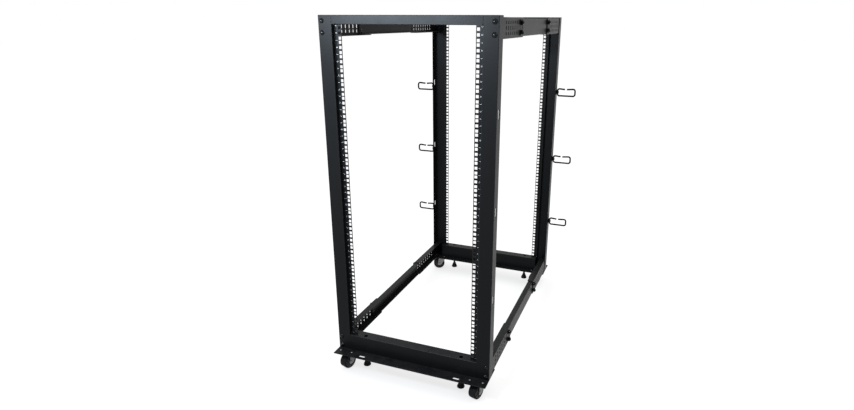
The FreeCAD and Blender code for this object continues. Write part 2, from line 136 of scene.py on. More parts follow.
class ShaderGroups:
    """Shader node groups that more than one finish uses, each built once.

    Noises are given as (detail, roughness), ramps as (value for 0, value for 1) and scales
    as features per metre.
    """

    FINE_GRAIN, COARSE_GRAIN = (2.0, 0.6), (1.0, 0.5)
    COARSE_SHARE = 0.31
    SPECKLE = (0.42, 0.68)
    BROAD_SMUDGE, STREAKS = (3.0, 0.55), (2.0, 0.5)
    SMUDGE_DISTORTION = 0.8
    STREAKS_PER_SMUDGE = 5.0
    SMUDGE = (0.14, 0.40)
    FACES_UP = (0.55, 1.0)
    DUST_SCALE, DUST_NOISE, DUST = 34.0, (4.0, 0.62), (0.30, 0.72)
    # The broken pale line along rounded edges: a painted highlight on the powder coat's edges and bends,
    # and wear on bolts and zinc.
    WEAR_SCALE, WEAR_NOISE, WEAR = 90.0, (3.0, 0.6), (0.35, 0.65)
    LEAST_WEAR = 0.45

    def __init__(self) -> None:
        """Builds the four groups."""
        self.grain = self.build_grain()
        self.smudge = self.build_smudge()
        self.dust = self.build_dust()
        self.edge_wear = self.build_edge_wear()

    @staticmethod
    def start(name: str, inputs: dict[str, str], outputs: list[str]) -> bpy.types.NodeTree:
        """Starts a group with its sockets.

        Args:
            name: Name of the group.
            inputs: Socket names with their kind, Float or Vector.
            outputs: Names of the number sockets that it puts out.

        Returns:
            The group's node tree, with its two end nodes.
        """
        tree = bpy.data.node_groups.new(name, "ShaderNodeTree")
        for label, kind in inputs.items():
            tree.interface.new_socket(label, in_out="INPUT", socket_type=f"NodeSocket{kind}")
        for label in outputs:
            tree.interface.new_socket(label, in_out="OUTPUT", socket_type="NodeSocketFloat")
        tree.nodes.new("NodeGroupInput").name = "in"
        tree.nodes.new("NodeGroupOutput").name = "out"
        return tree

    @staticmethod
    def noise(tree: bpy.types.NodeTree, scale: object, detail: float, roughness: float) -> bpy.types.Node:
        """Adds a noise texture on the group's coordinates.

        Args:
            tree: The group's node tree.
            scale: A socket, or a number of features per metre.
            detail: Octaves of the noise.
            roughness: How strongly the finer octaves show.

        Returns:
            The noise node.
        """
        node = tree.nodes.new("ShaderNodeTexNoise")
        node.inputs["Detail"].default_value = detail
        node.inputs["Roughness"].default_value = roughness
        tree.links.new(tree.nodes["in"].outputs["Coordinates"], node.inputs["Vector"])
        if isinstance(scale, bpy.types.NodeSocket):
            tree.links.new(scale, node.inputs["Scale"])
        else:
            node.inputs["Scale"].default_value = scale
        return node

    @staticmethod
    def math_node(tree: bpy.types.NodeTree, operation: str, *values: object) -> bpy.types.NodeSocket:
        """Adds a math node.

        Args:
            tree: The node tree.
            operation: Name of the operation.
            values: Sockets or numbers, in the order of its inputs.

        Returns:
            The result's socket.
        """
        node = tree.nodes.new("ShaderNodeMath")
        node.operation = operation
        for slot, value in zip(node.inputs, values):
            if isinstance(value, bpy.types.NodeSocket):
                tree.links.new(value, slot)
            else:
                slot.default_value = value
        return node.outputs[0]

    @staticmethod
    def ramp(
        tree: bpy.types.NodeTree, value: bpy.types.NodeSocket, low: float, high: float,
    ) -> bpy.types.NodeSocket:
        """Stretches a range of values smoothly to 0..1.

        Args:
            tree: The node tree.
            value: The value's socket.
            low: The value that becomes 0.
            high: The value that becomes 1.

        Returns:
            The result's socket.
        """
        node = tree.nodes.new("ShaderNodeMapRange")
        node.interpolation_type = "SMOOTHSTEP"
        node.inputs["From Min"].default_value = low
        node.inputs["From Max"].default_value = high
        tree.links.new(value, node.inputs["Value"])
        return node.outputs["Result"]

    def build_grain(self) -> bpy.types.NodeTree:
        """Builds the fine pebbled relief of coats, mouldings and rubber."""
        tree = self.start("fine_grain", {"Coordinates": "Vector", "Scale": "Float"}, ["Height", "Speckle"])
        scale = tree.nodes["in"].outputs["Scale"]
        fine = self.noise(tree, scale, *self.FINE_GRAIN)
        wider = self.math_node(tree, "MULTIPLY", scale, self.COARSE_SHARE)
        coarse = self.noise(tree, wider, *self.COARSE_GRAIN)
        height = self.math_node(tree, "ADD", fine.outputs["Fac"], coarse.outputs["Fac"])
        out = tree.nodes["out"]
        tree.links.new(self.math_node(tree, "MULTIPLY", height, 0.5), out.inputs["Height"])
        tree.links.new(self.ramp(tree, fine.outputs["Fac"], *self.SPECKLE), out.inputs["Speckle"])
        return tree

    def build_smudge(self) -> bpy.types.NodeTree:
        """Builds the broad, faint unevenness that handling leaves in a gloss."""
        tree = self.start("handling_smudge", {"Coordinates": "Vector", "Scale": "Float"}, ["Mask"])
        scale = tree.nodes["in"].outputs["Scale"]
        broad = self.noise(tree, scale, *self.BROAD_SMUDGE)
        broad.inputs["Distortion"].default_value = self.SMUDGE_DISTORTION
        closer = self.math_node(tree, "MULTIPLY", scale, self.STREAKS_PER_SMUDGE)
        streaks = self.noise(tree, closer, *self.STREAKS)
        both = self.math_node(tree, "MULTIPLY", broad.outputs["Fac"], streaks.outputs["Fac"])
        tree.links.new(self.ramp(tree, both, *self.SMUDGE), tree.nodes["out"].inputs["Mask"])
        return tree

    def build_dust(self) -> bpy.types.NodeTree:
        """Builds the thin dust that lies on faces that look up."""
        tree = self.start("settled_dust", {"Coordinates": "Vector", "Amount": "Float"}, ["Mask"])
        geometry = tree.nodes.new("ShaderNodeNewGeometry")
        split = tree.nodes.new("ShaderNodeSeparateXYZ")
        tree.links.new(geometry.outputs["Normal"], split.inputs[0])
        upward = self.ramp(tree, split.outputs["Z"], *self.FACES_UP)
        patches = self.noise(tree, self.DUST_SCALE, *self.DUST_NOISE)
        patchy = self.ramp(tree, patches.outputs["Fac"], *self.DUST)
        lying = self.math_node(tree, "MULTIPLY", upward, patchy)
        amount = self.math_node(tree, "MULTIPLY", lying, tree.nodes["in"].outputs["Amount"])
        tree.links.new(amount, tree.nodes["out"].inputs["Mask"])
        return tree

    def build_edge_wear(self) -> bpy.types.NodeTree:
        """Builds the broken paler line along rounded edges and bends: a painted highlight on the powder
        coat, and wear on bolts and zinc.
        """
        tree = self.start("edge_wear", {"Coordinates": "Vector", "Amount": "Float"}, ["Mask"])
        band = tree.nodes.new("ShaderNodeAttribute")
        band.attribute_name = EDGE_BAND
        patches = self.noise(tree, self.WEAR_SCALE, *self.WEAR_NOISE)
        patchy = self.ramp(tree, patches.outputs["Fac"], *self.WEAR)
        broken = self.math_node(tree, "ADD", patchy, self.LEAST_WEAR)
        line = self.math_node(tree, "MULTIPLY", band.outputs["Fac"], broken)
        amount = self.math_node(tree, "MULTIPLY", line, tree.nodes["in"].outputs["Amount"])
        tree.links.new(amount, tree.nodes["out"].inputs["Mask"])
        return tree


groups = ShaderGroups()


@dataclass(frozen=True)
class Finish:
    """A surface finish: its colours, gloss and fine relief.

    Attributes:
        name: Name of the material.
        colour: Main colour, linear.
        fleck: Colour of the grain's high points.
        roughness: Roughness in clean and in handled places.
        specular: Specular level, 0.5 for a plain varnish.
        metallic: Share of bare metal.
        grain_scale: Grains per metre.
        grain_depth: Depth of the relief.
        grain_strength: Strength of the relief.
        smudge_scale: Smudges per metre.
        dust: Amount of settled dust.
        wear: Amount of paling along rounded edges, a painted highlight on the powder coat and wear on bolts
            and zinc.
        worn: Colour of that paling along rounded edges.
    """

    name: str
    colour: Colour
    fleck: Colour
    roughness: Pair
    specular: float = 0.5
    metallic: float = 0.0
    grain_scale: float = 900.0
    grain_depth: float = 0.05 * MM
    grain_strength: float = 0.3
    smudge_scale: float = 6.0
    dust: float = 0.0
    # Paling along rounded edges: a painted highlight on the powder coat, and wear on bolts and zinc.
    wear: float = 0.0
    worn: Colour = (0.045, 0.046, 0.048)

    DUST_COLOUR = (0.16, 0.155, 0.145, 1.0)

    def material(self) -> bpy.types.Material:
        """Returns the finish's material, built at its first use."""
        return bpy.data.materials.get(self.name) or self.build()

    def build(self) -> bpy.types.Material:
        """Builds the material's nodes.

        Returns:
            The new material.
        """
        material = bpy.data.materials.new(self.name)
        material.use_nodes = True
        tree = material.node_tree
        shader = tree.nodes["Principled BSDF"]
        shader.inputs["Metallic"].default_value = self.metallic
        shader.inputs["Specular IOR Level"].default_value = self.specular
        place = tree.nodes.new("ShaderNodeTexCoord").outputs["Object"]
        grain = self.group(tree, groups.grain, place, "Scale", self.grain_scale)
        smudge = self.group(tree, groups.smudge, place, "Scale", self.smudge_scale)
        colour = self.pattern(tree, place, grain)
        # Pales the rounded edges: a painted highlight on the powder coat, and wear on bolts and zinc.
        if self.wear:
            edge = self.group(tree, groups.edge_wear, place, "Amount", self.wear)
            colour = self.mix(tree, edge.outputs["Mask"], colour, (*self.worn, 1.0))
        if self.dust:
            dust = self.group(tree, groups.dust, place, "Amount", self.dust)
            colour = self.mix(tree, dust.outputs["Mask"], colour, self.DUST_COLOUR)
        tree.links.new(colour, shader.inputs["Base Color"])
        gloss = tree.nodes.new("ShaderNodeMapRange")
        gloss.inputs["To Min"].default_value, gloss.inputs["To Max"].default_value = self.roughness
        tree.links.new(smudge.outputs["Mask"], gloss.inputs["Value"])
        tree.links.new(gloss.outputs["Result"], shader.inputs["Roughness"])
        relief = tree.nodes.new("ShaderNodeBump")
        relief.inputs["Strength"].default_value = self.grain_strength
        relief.inputs["Distance"].default_value = self.grain_depth
        tree.links.new(grain.outputs["Height"], relief.inputs["Height"])
        tree.links.new(relief.outputs["Normal"], shader.inputs["Normal"])
        return material

    def pattern(
        self, tree: bpy.types.NodeTree, place: bpy.types.NodeSocket, grain: bpy.types.Node,
    ) -> bpy.types.NodeSocket:
        """Mixes the main colour with the flecks on its grain."""
        return self.mix(tree, grain.outputs["Speckle"], (*self.colour, 1.0), (*self.fleck, 1.0))

    @staticmethod
    def group(
        tree: bpy.types.NodeTree, group: bpy.types.NodeTree, place: bpy.types.NodeSocket,
        label: str, value: float,
    ) -> bpy.types.Node:
        """Places a shared group in the material.

        Args:
            tree: The material's node tree.
            group: The shared group.
            place: The coordinates.
            label: The group's number socket.
            value: Its value.

        Returns:
            The group's node.
        """
        node = tree.nodes.new("ShaderNodeGroup")
        node.node_tree = group
        node.inputs[label].default_value = value
        tree.links.new(place, node.inputs["Coordinates"])
        return node

    @staticmethod
    def mix(
        tree: bpy.types.NodeTree, factor: bpy.types.NodeSocket, first: object, second: object,
    ) -> bpy.types.NodeSocket:
        """Mixes two colours.

        Args:
            tree: The material's node tree.
            factor: Share of the second colour.
            first: A colour or a colour socket.
            second: A colour or a colour socket.

        Returns:
            The mixed colour's socket.
        """
        node = tree.nodes.new("ShaderNodeMix")
        node.data_type = "RGBA"
        tree.links.new(factor, node.inputs["Factor"])
        for slot, value in ((node.inputs[6], first), (node.inputs[7], second)):
            if isinstance(value, bpy.types.NodeSocket):
                tree.links.new(value, slot)
            else:
                slot.default_value = value
        return node.outputs[2]


@dataclass(frozen=True)
class ZincPlate(Finish):
    """Bright zinc on steel, with its faint crystals."""

    crystal_scale: float = 260.0

    def pattern(
        self, tree: bpy.types.NodeTree, place: bpy.types.NodeSocket, grain: bpy.types.Node,
    ) -> bpy.types.NodeSocket:
        """Mixes two greys over crystal-shaped cells.

        Args:
            tree: The material's node tree.
            place: The coordinates.
            grain: The grain group's node, not used here.

        Returns:
            The colour's socket.
        """
        cells = tree.nodes.new("ShaderNodeTexVoronoi")
        cells.inputs["Scale"].default_value = self.crystal_scale
        tree.links.new(place, cells.inputs["Vector"])
        tone = tree.nodes.new("ShaderNodeSeparateColor")
        tree.links.new(cells.outputs["Color"], tone.inputs[0])
        return self.mix(tree, tone.outputs[0], (*self.colour, 1.0), (*self.fleck, 1.0))


POWDER_COAT = Finish(
    name="black_powder_coat",
    colour=(0.0058, 0.0060, 0.0064),
    fleck=(0.0085, 0.0087, 0.0092),
    roughness=(0.37, 0.40),
    specular=0.09,
    grain_scale=1100.0,
    grain_depth=0.03 * MM,
    dust=0.05,
    # Painted highlight: a paler line along the coat's rounded edges and bends.
    wear=0.55,
)
WIRE_COAT = Finish(
    name="black_wire_coat",
    colour=(0.0040, 0.0040, 0.0042),
    fleck=(0.0060, 0.0060, 0.0063),
    roughness=(0.50, 0.60),
    specular=0.05,
    grain_scale=700.0,
    grain_strength=0.2,
)
BLACK_STEEL = Finish(
    name="black_bolt_steel",
    colour=(0.0030, 0.0030, 0.0032),
    fleck=(0.0040, 0.0040, 0.0042),
    worn=(0.02, 0.02, 0.02),
    roughness=(0.16, 0.24),
    specular=0.16,
    grain_scale=1500.0,
    grain_depth=0.02 * MM,
    grain_strength=0.2,
    wear=0.2,
)
ZINC = ZincPlate(
    name="dull_zinc_plate",
    colour=(0.15, 0.152, 0.155),
    fleck=(0.21, 0.212, 0.215),
    worn=(0.30, 0.30, 0.30),
    roughness=(0.34, 0.46),
    metallic=1.0,
    grain_scale=500.0,
    grain_depth=0.02 * MM,
    grain_strength=0.15,
    wear=0.3,
)
TYRE_RUBBER = Finish(
    name="black_tyre_rubber",
    colour=(0.0085, 0.0085, 0.0090),
    fleck=(0.0145, 0.0145, 0.0150),
    roughness=(0.60, 0.75),
    specular=0.08,
    grain_scale=600.0,
    grain_depth=0.06 * MM,
    dust=0.08,
)
HUB_PLASTIC = Finish(
    name="grey_hub_moulding",
    colour=(0.10, 0.10, 0.103),
    fleck=(0.13, 0.13, 0.133),
    roughness=(0.45, 0.58),
    specular=0.2,
    grain_depth=0.03 * MM,
)
FOOT_MOULDING = Finish(
    name="black_foot_moulding",
    colour=(0.0080, 0.0080, 0.0085),
    fleck=(0.0140, 0.0140, 0.0145),
    roughness=(0.55, 0.68),
    specular=0.08,
    grain_scale=800.0,
    dust=0.05,
)
MARK_INK = Finish(
    name="white_mark_ink",
    colour=(0.58, 0.58, 0.58),
    fleck=(0.46, 0.46, 0.465),
    roughness=(0.55, 0.70),
    grain_scale=1600.0,
    grain_depth=0.02 * MM,
)


def piece(
    name: str, form: bmesh.types.BMesh, finish: Finish, body: str,
    replaced: tuple[str, ...] = (),
) -> None:
    """Makes a form a piece of the rack.

    Args:
        name: The piece's name.
        form: Its mesh, which is freed.
        finish: Its finish.
        body: The body that it rides on.
        replaced: The CAD nodes that it stands for.
    """
    mesh = bpy.data.meshes.new(name)
    form.to_mesh(mesh)
    form.free()
    mesh.materials.append(finish.material())
    mesh.shade_smooth()
    mesh.set_sharp_from_angle(angle=CREASE)
    item = bpy.data.objects.new(name, mesh)
    bpy.context.scene.collection.objects.link(item)
    flats = item.modifiers.new("true_flats", "WEIGHTED_NORMAL")
    flats.keep_sharp = True
    flats.weight = 100
    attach(item, body)
    if replaced:
        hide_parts(*replaced)
    log.info("%s: %d faces on %s", name, len(mesh.polygons), body)


def placed(form: bmesh.types.BMesh, matrix: Matrix) -> bmesh.types.BMesh:
    """Moves a form, and turns its faces outwards again where the move mirrors it.

    Args:
        form: The mesh.
        matrix: The move.

    Returns:
        The same mesh.
    """
    bmesh.ops.transform(form, matrix=matrix, verts=form.verts)
    if matrix.determinant() < 0:
        bmesh.ops.reverse_faces(form, faces=form.faces)
    return form


def added(target: bmesh.types.BMesh, form: bmesh.types.BMesh, matrices: list[Matrix]) -> None:
    """Adds copies of a form to another mesh, and frees the form.

    Args:
        target: The mesh that grows.
        form: What is copied.
        matrices: One place for each copy.
    """
    mesh = bpy.data.meshes.new("copy")
    form.to_mesh(mesh)
    form.free()
    for matrix in matrices:
        copy = bmesh.new()
        copy.from_mesh(mesh)
        placed(copy, matrix)
        moved = bpy.data.meshes.new("moved")
        copy.to_mesh(moved)
        copy.free()
        target.from_mesh(moved)
        bpy.data.meshes.remove(moved)
    bpy.data.meshes.remove(mesh)


def skinned(form: bmesh.types.BMesh, near: Sequence, far: Sequence) -> None:
    """Adds the faces between two rows of points, of which some may be one point.

    Args:
        form: The mesh.
        near: Points of the one row.
        far: As many points of the other row.
    """
    for i in range(1, len(near)):
        form.faces.new(dict.fromkeys((near[i - 1], near[i], far[i], far[i - 1])))


def turned(profile: Sequence[Pair], steps: int, ring: bool = False) -> bmesh.types.BMesh:
    """Spins a profile about Z into a closed form.

    Args:
        profile: Points of (radius, height), from one pole to the other.
        steps: Number of sides.
        ring: True where the profile's last point joins its first.

    Returns:
        The turned mesh.
    """
    form = bmesh.new()
    angles = [2 * math.pi * i / steps for i in range(steps)]
    rows = []
    for radius, height in profile:
        if radius > WELD:
            row = [form.verts.new((radius * math.cos(a), radius * math.sin(a), height)) for a in angles]
        else:
            row = [form.verts.new((0.0, 0.0, height))] * steps
        rows.append(row + row[:1])
    for near, far in zip(rows, rows[1:] + rows[:1] if ring else rows[1:]):
        skinned(form, near, far)
    bmesh.ops.recalc_face_normals(form, faces=form.faces)
    return form


def arc(centre: Pair, radius: float, start: float, end: float, steps: int) -> list[Pair]:
    """Points on an arc of a profile.

    Args:
        centre: Centre as (radius, height).
        radius: The arc's radius.
        start: First angle in degrees, from the outward direction.
        end: Last angle in degrees.
        steps: Number of chords.

    Returns:
        The points, both ends included.
    """
    angles = [math.radians(start + (end - start) * i / steps) for i in range(steps + 1)]
    return [(centre[0] + radius * math.cos(a), centre[1] + radius * math.sin(a)) for a in angles]


def rounded_plate(
    middle: Vector, size: Vector, axis: int, corner: float, segments: int,
) -> bmesh.types.BMesh:
    """Builds a flat plate with rounded corners.

    Args:
        middle: Its middle.
        size: Its sizes.
        axis: Number of the axis square to it.
        corner: Radius of its corners.
        segments: Facets round a corner.

    Returns:
        The closed mesh.
    """
    form = bmesh.new()
    place = Matrix.Translation(middle) @ Matrix.Diagonal((*size, 1))
    bmesh.ops.create_cube(form, size=1.0, matrix=place)
    half = size[axis] / 2
    through = [
        edge for edge in form.edges
        if abs(edge.verts[0].co[axis] - edge.verts[1].co[axis]) > half
    ]
    bmesh.ops.bevel(
        form, geom=through, offset=corner, offset_type="OFFSET", segments=segments,
        profile=0.5, affect="EDGES", clamp_overlap=True, material=-1,
    )
    return form


def softened(form: bmesh.types.BMesh, radius: float, segments: int) -> bmesh.types.BMesh:
    """Rounds every sharp edge of a form, and marks the rounds as its edge band.

    Args:
        form: The mesh, with its doubles merged.
        radius: Width of the round on each side of the edge.
        segments: Facets across the round.

    Returns:
        The same mesh.
    """
    band = form.verts.layers.float.new(EDGE_BAND)
    sharp = [edge for edge in form.edges if edge.is_manifold and edge.calc_face_angle() > SHARP]
    rounds = set(bmesh.ops.bevel(
        form, geom=sharp, offset=radius, offset_type="OFFSET", segments=segments,
        profile=0.5, affect="EDGES", clamp_overlap=False, material=-1, loop_slide=True,
    )["faces"])
    for vert in form.verts:
        if all(face in rounds for face in vert.link_faces):
            vert[band] = 1.0
    return form


def merged_copy(node: str, levels: list[tuple[Vector, Vector]]) -> bmesh.types.BMesh:
    """Copies a CAD node's mesh, with its triangles merged into flat faces.

    Args:
        node: The node's name.
        levels: Planes, as point and normal, through every opening, so that no flat
            face goes all the way round one.

    Returns:
        The copy.
    """
    form = bmesh.new()
    form.from_mesh(frame["nodes"][node].data)
    bmesh.ops.remove_doubles(form, verts=form.verts, dist=WELD)
    for point, normal in levels:
        cut = bmesh.ops.bisect_plane(
            form, geom=form.verts[:] + form.edges[:] + form.faces[:], dist=WELD,
            plane_co=point, plane_no=normal,
        )["geom_cut"]
        for item in cut:
            if isinstance(item, bmesh.types.BMEdge):
                item.seam = True
    bmesh.ops.dissolve_limit(
        form, angle_limit=FLAT, use_dissolve_boundaries=False, verts=form.verts, edges=form.edges,
        delimit={"SEAM"},
    )
    for edge in form.edges:
        edge.seam = False
    return form


@dataclass
class SheetWork:
    """Folded sheet pieces: posts, bars, base plates, brackets and middle rails.

    Attributes:
        edge: Round on the cut edges and the folds.
        segments: Facets across each round.
        holes: Heights of a unit's three square holes over its lower end.
        slot_rows: Rows of slots over and under a bracket's middle.
        anchor_inset: From a base plate's lip to its anchor slots' line.
    """

    edge: float = 0.45 * MM
    segments: int = 2
    holes: tuple[float, float, float] = (6.35 * MM, 22.225 * MM, 38.1 * MM)
    slot_rows: tuple[float, float, float] = (-16.0 * MM, 0.0, 16.0 * MM)
    anchor_inset: float = 16.0 * MM

    def pieces(self) -> dict[str, list[tuple[Vector, Vector]]]:
        """Lists the sheet pieces with the planes through their openings.

        Returns:
            The planes of each node, as point and normal.
        """
        up = Vector((0, 0, 1))
        along = Vector((0, 1, 0))
        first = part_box("front_base_bar")[1].z + ABOVE_BAR
        heights = [first + i * UNIT + step for i in range(UNITS) for step in self.holes]
        found = {}
        for end in End:
            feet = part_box(f"{end.value}_left_levelling_foot")
            foot_line = (Vector((0, (feet[0].y + feet[1].y) / 2, 0)), along)
            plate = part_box(f"{end.value}_base_plate")
            lip = plate[0].y if end is End.FRONT else plate[1].y
            anchor_line = (Vector((0, lip - end.sign * self.anchor_inset, 0)), along)
            found[f"{end.value}_base_plate"] = [foot_line, anchor_line]
            found[f"{end.value}_base_bar"] = [foot_line]
            found[f"{end.value}_top_bar"] = []
            for side in Side:
                found[f"{end.value}_{side.value}_post"] = [(Vector((0, 0, z)), up) for z in heights]
                for level in Level:
                    node = f"{side.value}_{level.value}_{end.value}_bracket"
                    low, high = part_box(node)
                    rows = [(low.z + high.z) / 2 + row for row in self.slot_rows]
                    found[node] = [(Vector((0, 0, z)), up) for z in rows]
                    found[f"{side.value}_{level.value}_middle_rail"] = []
        return found

    def build(self) -> None:
        """Rounds and coats each sheet piece in its node's place."""
        for node, levels in self.pieces().items():
            form = softened(merged_copy(node, levels), self.edge, self.segments)
            piece(f"{node}_coated", form, POWDER_COAT, FRAME_BODY, (node,))


@dataclass
class HexNut:
    """A plain hexagon nut on a bolt's end, its seat at Z 0.

    Attributes:
        flats: Width across the flats.
        height: Height of the nut.
        bolt: Radius of the bolt.
        bolt_proud: How far the bolt stands past the nut.
        bolt_chamfer: Chamfer of the bolt's end.
        chamfer: Chamfer of the nut's upper corners.
        washer: Radius of its washer, or 0 where it has none.
        washer_height: Thickness of the washer.
        steps: Sides of the bolt.
    """

    flats: float = 10.0 * MM
    height: float = 5.0 * MM
    bolt: float = 3.0 * MM
    bolt_proud: float = 2.0 * MM
    bolt_chamfer: float = 0.5 * MM
    chamfer: float = 0.8 * MM
    washer: float = 0.0
    washer_height: float = 1.2 * MM
    steps: int = 16

    def build(self) -> bmesh.types.BMesh:
        """Builds the nut, its bolt's end and its washer if it has one.

        Returns:
            The mesh of closed forms.
        """
        form = bmesh.new()
        corner = self.flats / 2 / math.cos(math.pi / 6)
        bmesh.ops.create_cone(
            form, cap_ends=True, segments=6, radius1=corner, radius2=corner, depth=self.height,
            matrix=Matrix.Translation((0, 0, self.height / 2)),
        )
        upper = [vert for vert in form.verts if vert.co.z > self.height / 2]
        bmesh.ops.bevel(
            form, geom=upper, offset=self.chamfer, offset_type="OFFSET", segments=1,
            profile=0.5, affect="VERTICES", clamp_overlap=True, material=-1,
        )
        lift = self.washer_height if self.washer else 0.0
        bmesh.ops.translate(form, vec=(0, 0, lift), verts=form.verts)
        top = lift + self.height + self.bolt_proud
        tip = self.bolt_chamfer
        stem = [(0.0, lift), (self.bolt, lift), (self.bolt, top - tip), (self.bolt - tip, top), (0.0, top)]
        added(form, turned(stem, self.steps), [Matrix.Identity(4)])
        if self.washer:
            ring = [(0.0, 0.0), (self.washer, 0.0), (self.washer, lift), (0.0, lift)]
            added(form, turned(ring, self.steps + 8), [Matrix.Identity(4)])
        return form


@dataclass
class DomeBolt:
    """A round-headed bolt, its seat at Z 0 and its dome up.

    Attributes:
        radius: Radius of the head.
        height: Height of the head.
        rim: Height of its straight rim.
        steps: Sides of the head.
        dome_steps: Chords up the dome.
    """

    radius: float
    height: float
    rim: float = 0.8 * MM
    steps: int = 28
    dome_steps: int = 7

    def head(self) -> bmesh.types.BMesh:
        """Builds the dome.

        Returns:
            The closed mesh.
        """
        rise = self.height - self.rim
        sphere = (self.radius ** 2 + rise ** 2) / (2 * rise)
        half = math.degrees(math.asin(self.radius / sphere))
        dome = arc((0.0, self.height - sphere), sphere, 90 - half, 90, self.dome_steps)
        return turned([(0.0, 0.0), (self.radius, 0.0)] + dome, self.steps)


@dataclass
class CapNut:
    """A domed cap nut on its washer, its seat at Z 0.

    Attributes:
        flats: Width across the flats.
        height: Height of the hexagon.
        chamfer: Chamfer of the hexagon's upper corners.
        dome: Radius of the dome.
        shoulder: How far the dome starts under the hexagon's top.
        top: Height of the dome's top.
        washer: Radius of the washer.
        washer_height: Thickness of the washer.
        steps: Sides of the dome.
    """

    flats: float = 16.0 * MM
    height: float = 6.5 * MM
    chamfer: float = 1.2 * MM
    dome: float = 7.7 * MM
    shoulder: float = 1.0 * MM
    top: float = 12.0 * MM
    washer: float = 9.0 * MM
    washer_height: float = 1.6 * MM
    steps: int = 24

    def build(self) -> bmesh.types.BMesh:
        """Builds the washer, the hexagon and the dome.

        Returns:
            The mesh of closed forms.
        """
        lift = self.washer_height
        ring = [(0.0, 0.0), (self.washer, 0.0), (self.washer, lift), (0.0, lift)]
        form = turned(ring, self.steps + 8)
        nut = HexNut(flats=self.flats, height=self.height, chamfer=self.chamfer).build()
        added(form, nut, [Matrix.Translation((0, 0, lift))])
        shoulder = lift + self.height - self.shoulder
        crown = [(0.0, shoulder), (self.dome, shoulder)]
        crown += arc((0.0, self.top - self.dome), self.dome, 0, 90, 6)
        added(form, turned(crown, self.steps), [Matrix.Identity(4)])
        return form


@dataclass
class PostScrews:
    """The domed screws that hold the side rails' ends to the posts' faces, and their nuts.

    Attributes:
        inset: From the post's outer face to the screws' line.
        spread: From the rail's middle height to each screw.
        seat: From the post's face back to the nut's seat.
        head: Radius and height of a head.
    """

    inset: float = 13.0 * MM
    spread: float = 18.3 * MM
    seat: float = 6.8 * MM
    head: Pair = (8.2 * MM, 5.4 * MM)

    def build(self) -> None:
        """Builds the screws of each post as one piece."""
        post_low, post_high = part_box("front_right_post")
        x = post_high.x - self.inset
        for end in End:
            for side in Side:
                form = bmesh.new()
                heads = []
                nuts = []
                for level in Level:
                    low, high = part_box(f"right_{level.value}_front_bracket")
                    for step in (-1, 1):
                        z = (low.z + high.z) / 2 + step * self.spread
                        heads.append(Matrix.Translation((x, post_low.y, z)) @ outward(Vector((0, -1, 0))))
                        back = Matrix.Translation((x, post_low.y + self.seat, z))
                        nuts.append(back @ outward(Vector((0, 1, 0))))
                added(form, DomeBolt(*self.head).head(), heads)
                added(form, HexNut().build(), nuts)
                placed(form, corner_matrix(end, side))
                name = f"{end.value}_{side.value}_post_screws"
                piece(name, form, BLACK_STEEL, FRAME_BODY)


@dataclass
class RailBolts:
    """The bolts that clamp each bracket to its middle rail, with cap nuts outside.

    Attributes:
        front: From the front mounting plane back to the front bolts.
        rear: From the rear mounting plane forwards to the rear bolts.
        spread: From the rail's middle height to each bolt.
        grip: Thickness of the two sheets and their gap.
        head: Radius, height and rim of the flat head inside.
    """

    front: float = 245.8 * MM
    rear: float = 271.2 * MM
    spread: float = 16.0 * MM
    grip: float = 5.3 * MM
    head: tuple[float, float, float] = (7.5 * MM, 2.0 * MM, 0.5 * MM)

    def build(self) -> None:
        """Builds the bolts of each rail as one piece."""
        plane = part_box("front_right_post")[0].y + FACE_STEP
        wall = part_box("right_top_front_bracket")[1].x
        for side in Side:
            for level in Level:
                low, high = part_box(f"{side.value}_{level.value}_front_bracket")
                form = bmesh.new()
                heads = []
                nuts = []
                for y in (plane + self.front, -plane - self.rear):
                    for way in (-1, 1):
                        z = (low.z + high.z) / 2 + way * self.spread
                        nuts.append(Matrix.Translation((wall, y, z)) @ outward(Vector((1, 0, 0))))
                        inside = Matrix.Translation((wall - self.grip, y, z))
                        heads.append(inside @ outward(Vector((-1, 0, 0))))
                added(form, DomeBolt(*self.head).head(), heads)
                added(form, CapNut().build(), nuts)
                placed(form, corner_matrix(End.FRONT, side))
                name = f"{side.value}_{level.value}_rail_bolts"
                piece(name, form, BLACK_STEEL, FRAME_BODY)


